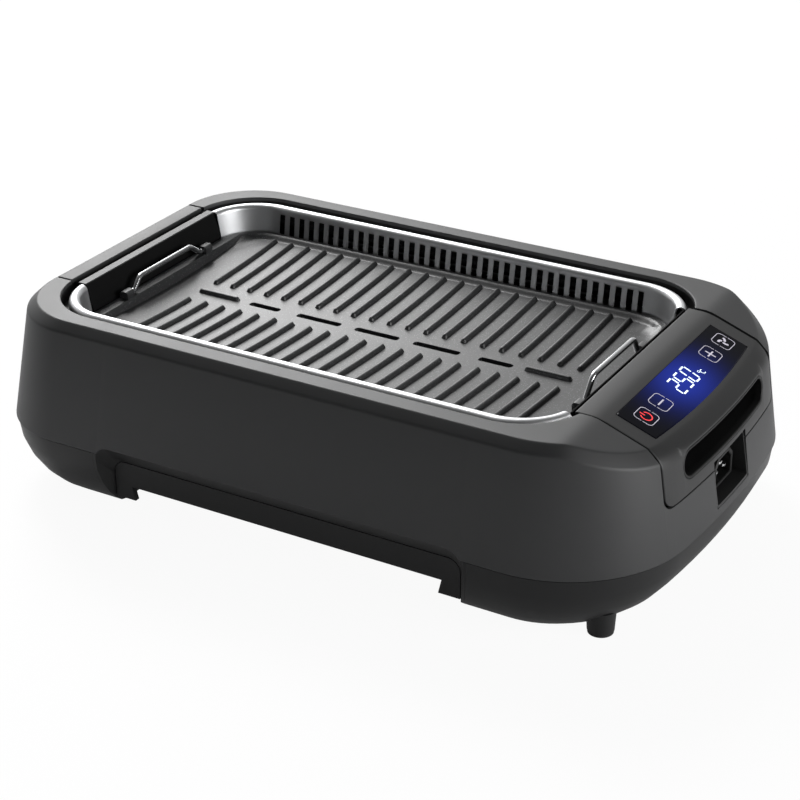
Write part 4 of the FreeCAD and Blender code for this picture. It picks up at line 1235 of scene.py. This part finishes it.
finishes["liner_steel"] = metal("bright_liner_steel", 0.66, 0.43, (0.05, 1, 1), 0.01)
finishes["sheet_steel"] = metal("galvanised_sheet", 0.5, 0.38, (0.1, 1, 1), 0.02)
finishes["wire_steel"] = metal("polished_wire", 0.62, 0.2, (1, 0.1, 1), 0.006)
finishes["tray_steel"] = metal("drip_tray_metal", 0.42, 0.36, (0.08, 1, 1), 0.02)
finishes["brass"] = metal("plated_pin", 0.7, 0.22, (0.2, 1, 1), 0.008)

# %% [markdown]
# ## Non-stick coat
# The plate is sprayed with a dark coat flecked with lighter specks. The specks are cells of a Voronoi
# pattern that are kept only where a second noise is high, so they scatter unevenly as sprayed drops do.

# %% Non-stick coat
fleck_mm = 1.3


def nonstick():
    """Dark coat with scattered pale flecks, an orange-peel relief and slightly glossier flecks."""
    finish = Finish("speckled_nonstick", Specular_IOR_Level=0.7)
    spread = {"Vector": finish.place, "Scale": 1 / (fleck_mm * MM)}
    cells = finish.add("ShaderNodeTexVoronoi", {"feature": "F1"}, spread)
    patch = finish.noise(2.2, 2)
    fleck = (1 - cells.above(0.28, 0.14)) * patch.above(0.5, 0.12)
    peel = finish.noise(0.7, 3, 0.6)
    finish.set(Base_Color=finish.blend(fleck * 0.85 + peel * 0.15, grey(0.011, 0.03), grey(0.11, 0.03)))
    finish.set(Roughness=0.34 + peel * 0.12 - fleck * 0.05)
    return finish.bump(peel + fleck * 0.5, 0.05, 0.5)


finishes["nonstick_coat"] = nonstick()

# %% [markdown]
# ## Panel glass and lit marks
# Behind the dark glass a blue lamp lights the number, and its glow fades towards both ends of the
# panel. The fade is a bell curve over the distance from the number's middle, and it only feeds the
# emission's colour.

# %% Panel finishes
glow_u = 22.0
glow_long, glow_wide = 30.0, 22.0


def panel_glass():
    """Black glass with a blue glow: e to the minus square of the distance from the number."""
    finish = Finish("dark_panel_glass", Base_Color=grey(0.003, 0.05), Specular_IOR_Level=0.04)
    along = (finish.axis(1) - digits_at * MM) / (glow_long * MM)
    across = (finish.axis(0) - (deck_x + glow_u) * MM) / (glow_wide * MM)
    glow = math.e ** ((along * along + across * across) * -1)
    light = finish.blend(glow, (0.001, 0.001, 0.002, 1), (0.013, 0.032, 0.35, 1))
    finish.set(Emission_Color=light, Emission_Strength=1.0)
    return finish.set(Roughness=0.07 + finish.noise(6, 4) * 0.05)


def lit(name, colour, strength):
    """A lit mark: nearly even light, weaker by up to a fifth in small patches."""
    finish = Finish(name, Roughness=0.4)
    light = finish.blend(finish.noise(2.5, 2), shade(colour, 0.8), colour)
    return finish.set(Base_Color=light, Emission_Color=light, Emission_Strength=strength)


finishes["panel_glass"] = panel_glass()
finishes["display_blue"] = lit("display_backlight", (0.05, 0.12, 0.8, 1), 0.5)
finishes["number_light"] = lit("number_light", (0.80, 0.93, 1.0, 1), 1.0)
finishes["key_light"] = lit("key_light", (0.40, 0.38, 0.44, 1), 0.8)
finishes["power_light"] = lit("power_light", (0.75, 0.035, 0.04, 1), 0.9)
print("finishes", len(finishes))

# %% [markdown]
# ## Dressing every node
# Each node keeps its mesh as it came: loose triangles. A Weld joins them and an Edge Split keeps crisp
# what should stay crisp, so flat faces stay flat and round ones look round. A piece or node takes the
# finish of its slot, apart from a few that differ from the rest of their slot.

# %% Materials on nodes and pieces
own_finish = {
    "control_end": "control_end", "inlet_surround": "control_end",
    "left_heat_panel": "enamel", "right_heat_panel": "enamel",
    "lit_number": "number_light", "lit_keys": "key_light", "lit_power_mark": "power_light",
}


def dress(thing, finish):
    """Puts one finish on an object."""
    thing.data.materials.clear()
    thing.data.materials.append(finish.material)


def smooth_node(node):
    """Weld and edge split on a node, with smooth faces; its points stay where they are."""
    node.data.shade_smooth()
    node.modifiers.new("join_triangles", "WELD").merge_threshold = 1e-5
    node.modifiers.new("crisp_edges", "EDGE_SPLIT").split_angle = math.radians(38)


slots = {part["node"]: part["material_slot"] for part in frame["record"]["subparts"]}
for name, node in nodes.items():
    dress(node, finishes[own_finish.get(name, slots[name])])
    smooth_node(node)
for name, piece in pieces.items():
    dress(piece, finishes[own_finish.get(name, piece["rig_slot"])])
print("dressed", len(nodes), "nodes and", len(pieces), "pieces")

# %% [markdown]
# ## Floor, light and camera
# A product photograph like this one is taken on a white table in front of a white wall. The table and
# the wall give the long pale reflections on the plate and the rim, and the dark front comes from a room
# without lamps on that side. A ray that leaves the camera sees the table and the wall as white, and so,
# in part, does one that was mirrored or went through glass.

# %% Floor
floor_half = 6000.0
floor_seen, floor_mirrored = 0.94, 0.25
white = (1, 1, 1, 1)


def ray_kinds(tree):
    """Three values that are 1 for a camera ray, a glossy ray and a transmission ray."""
    outputs = add_node(tree, "ShaderNodeLightPath").socket.node.outputs
    kinds = ("Is Camera Ray", "Is Glossy Ray", "Is Transmission Ray")
    return [Wire(tree, outputs[kind]) for kind in kinds]


floor_line = np.array([[-floor_half, 0, 0], [floor_half, 0, 0]])
floor = make_mesh("floor", [surface([floor_line - [0, floor_half, 0], floor_line + [0, floor_half, 0]])])
table = Finish("white_table", Base_Color=(0.86, 0.86, 0.87, 1), Roughness=0.55)
camera_ray, glossy_ray, through_ray = ray_kinds(table.tree)
seen = camera_ray * floor_seen + (glossy_ray + through_ray) * floor_mirrored
glow = table.add("ShaderNodeEmission", None, {"Color": white, "Strength": 1.0})
bare = Wire(table.tree, table.shader.outputs[0])
mixed = table.add("ShaderNodeMixShader", None, {0: seen, 1: bare, 2: glow})
table.tree.links.new(mixed.socket, table.tree.nodes["Material Output"].inputs["Surface"])
dress(floor, table)

# %% World
world = bpy.data.worlds.new("studio")
bpy.context.scene.world = world
world.use_nodes = True
sky = world.node_tree
sky.nodes.clear()
aim = add_node(sky, "ShaderNodeTexCoord")
aim_x, aim_y = (add_node(sky, "ShaderNodeSeparateXYZ", None, {0: aim}, i) for i in range(2))
behind = aim_y * 0.7 - aim_x * 0.7
wall_light = behind.above(0.5, 1.0) * 0.9 + 0.07
camera_ray, glossy_ray, through_ray = ray_kinds(sky)
seen = camera_ray + (glossy_ray + through_ray) * behind.above(0.75, 0.5)
strength = seen + (1 - seen) * wall_light
backdrop = add_node(sky, "ShaderNodeBackground", None, {"Color": white, "Strength": strength})
out = sky.nodes.new("ShaderNodeOutputWorld")
sky.links.new(backdrop.socket, out.inputs["Surface"])

# %% Lamps


def softbox(name, place, target, size, watts):
    """A rectangular lamp at a place in millimetres, turned towards a target."""
    lamp = bpy.data.lights.new(name, "AREA")
    lamp.shape = "RECTANGLE"
    lamp.size, lamp.size_y = size[0] * MM, size[1] * MM
    lamp.energy = watts
    thing = bpy.data.objects.new(name, lamp)
    bpy.context.scene.collection.objects.link(thing)
    thing.location = Vector(place) * MM
    thing.rotation_euler = (Vector(target) - Vector(place)).to_track_quat("-Z", "Y").to_euler()


softbox("back_panel", (-2150, 2050, 1300), (-100, 0, 120), (1700, 1300), 30)
softbox("key_panel", (-1500, 1250, 2000), (-50, 0, 110), (900, 900), 54)
softbox("right_panel", (2350, 0, 700), (200, 0, 80), (1400, 1200), 46)

# %% Camera
image_px = 800.0
focal_px = 2009.93
sensor_mm = 36.0
eye = Vector((675.5, -1128.4, 732.6))
target = Vector((0.73, 1.03, 62.6))
roll = math.radians(-0.794)
camera = bpy.data.cameras.new("camera")
camera.sensor_width = sensor_mm
camera.lens = focal_px / image_px * sensor_mm
camera.clip_end = 100
view = bpy.data.objects.new("camera", camera)
bpy.context.scene.collection.objects.link(view)
turn = (target - eye).to_track_quat("-Z", "Y").to_matrix() @ Matrix.Rotation(roll, 3, "Z")
view.matrix_world = Matrix.Translation(eye * MM) @ turn.to_4x4()
bpy.context.scene.camera = view
bpy.context.scene.view_settings.view_transform = "Standard"
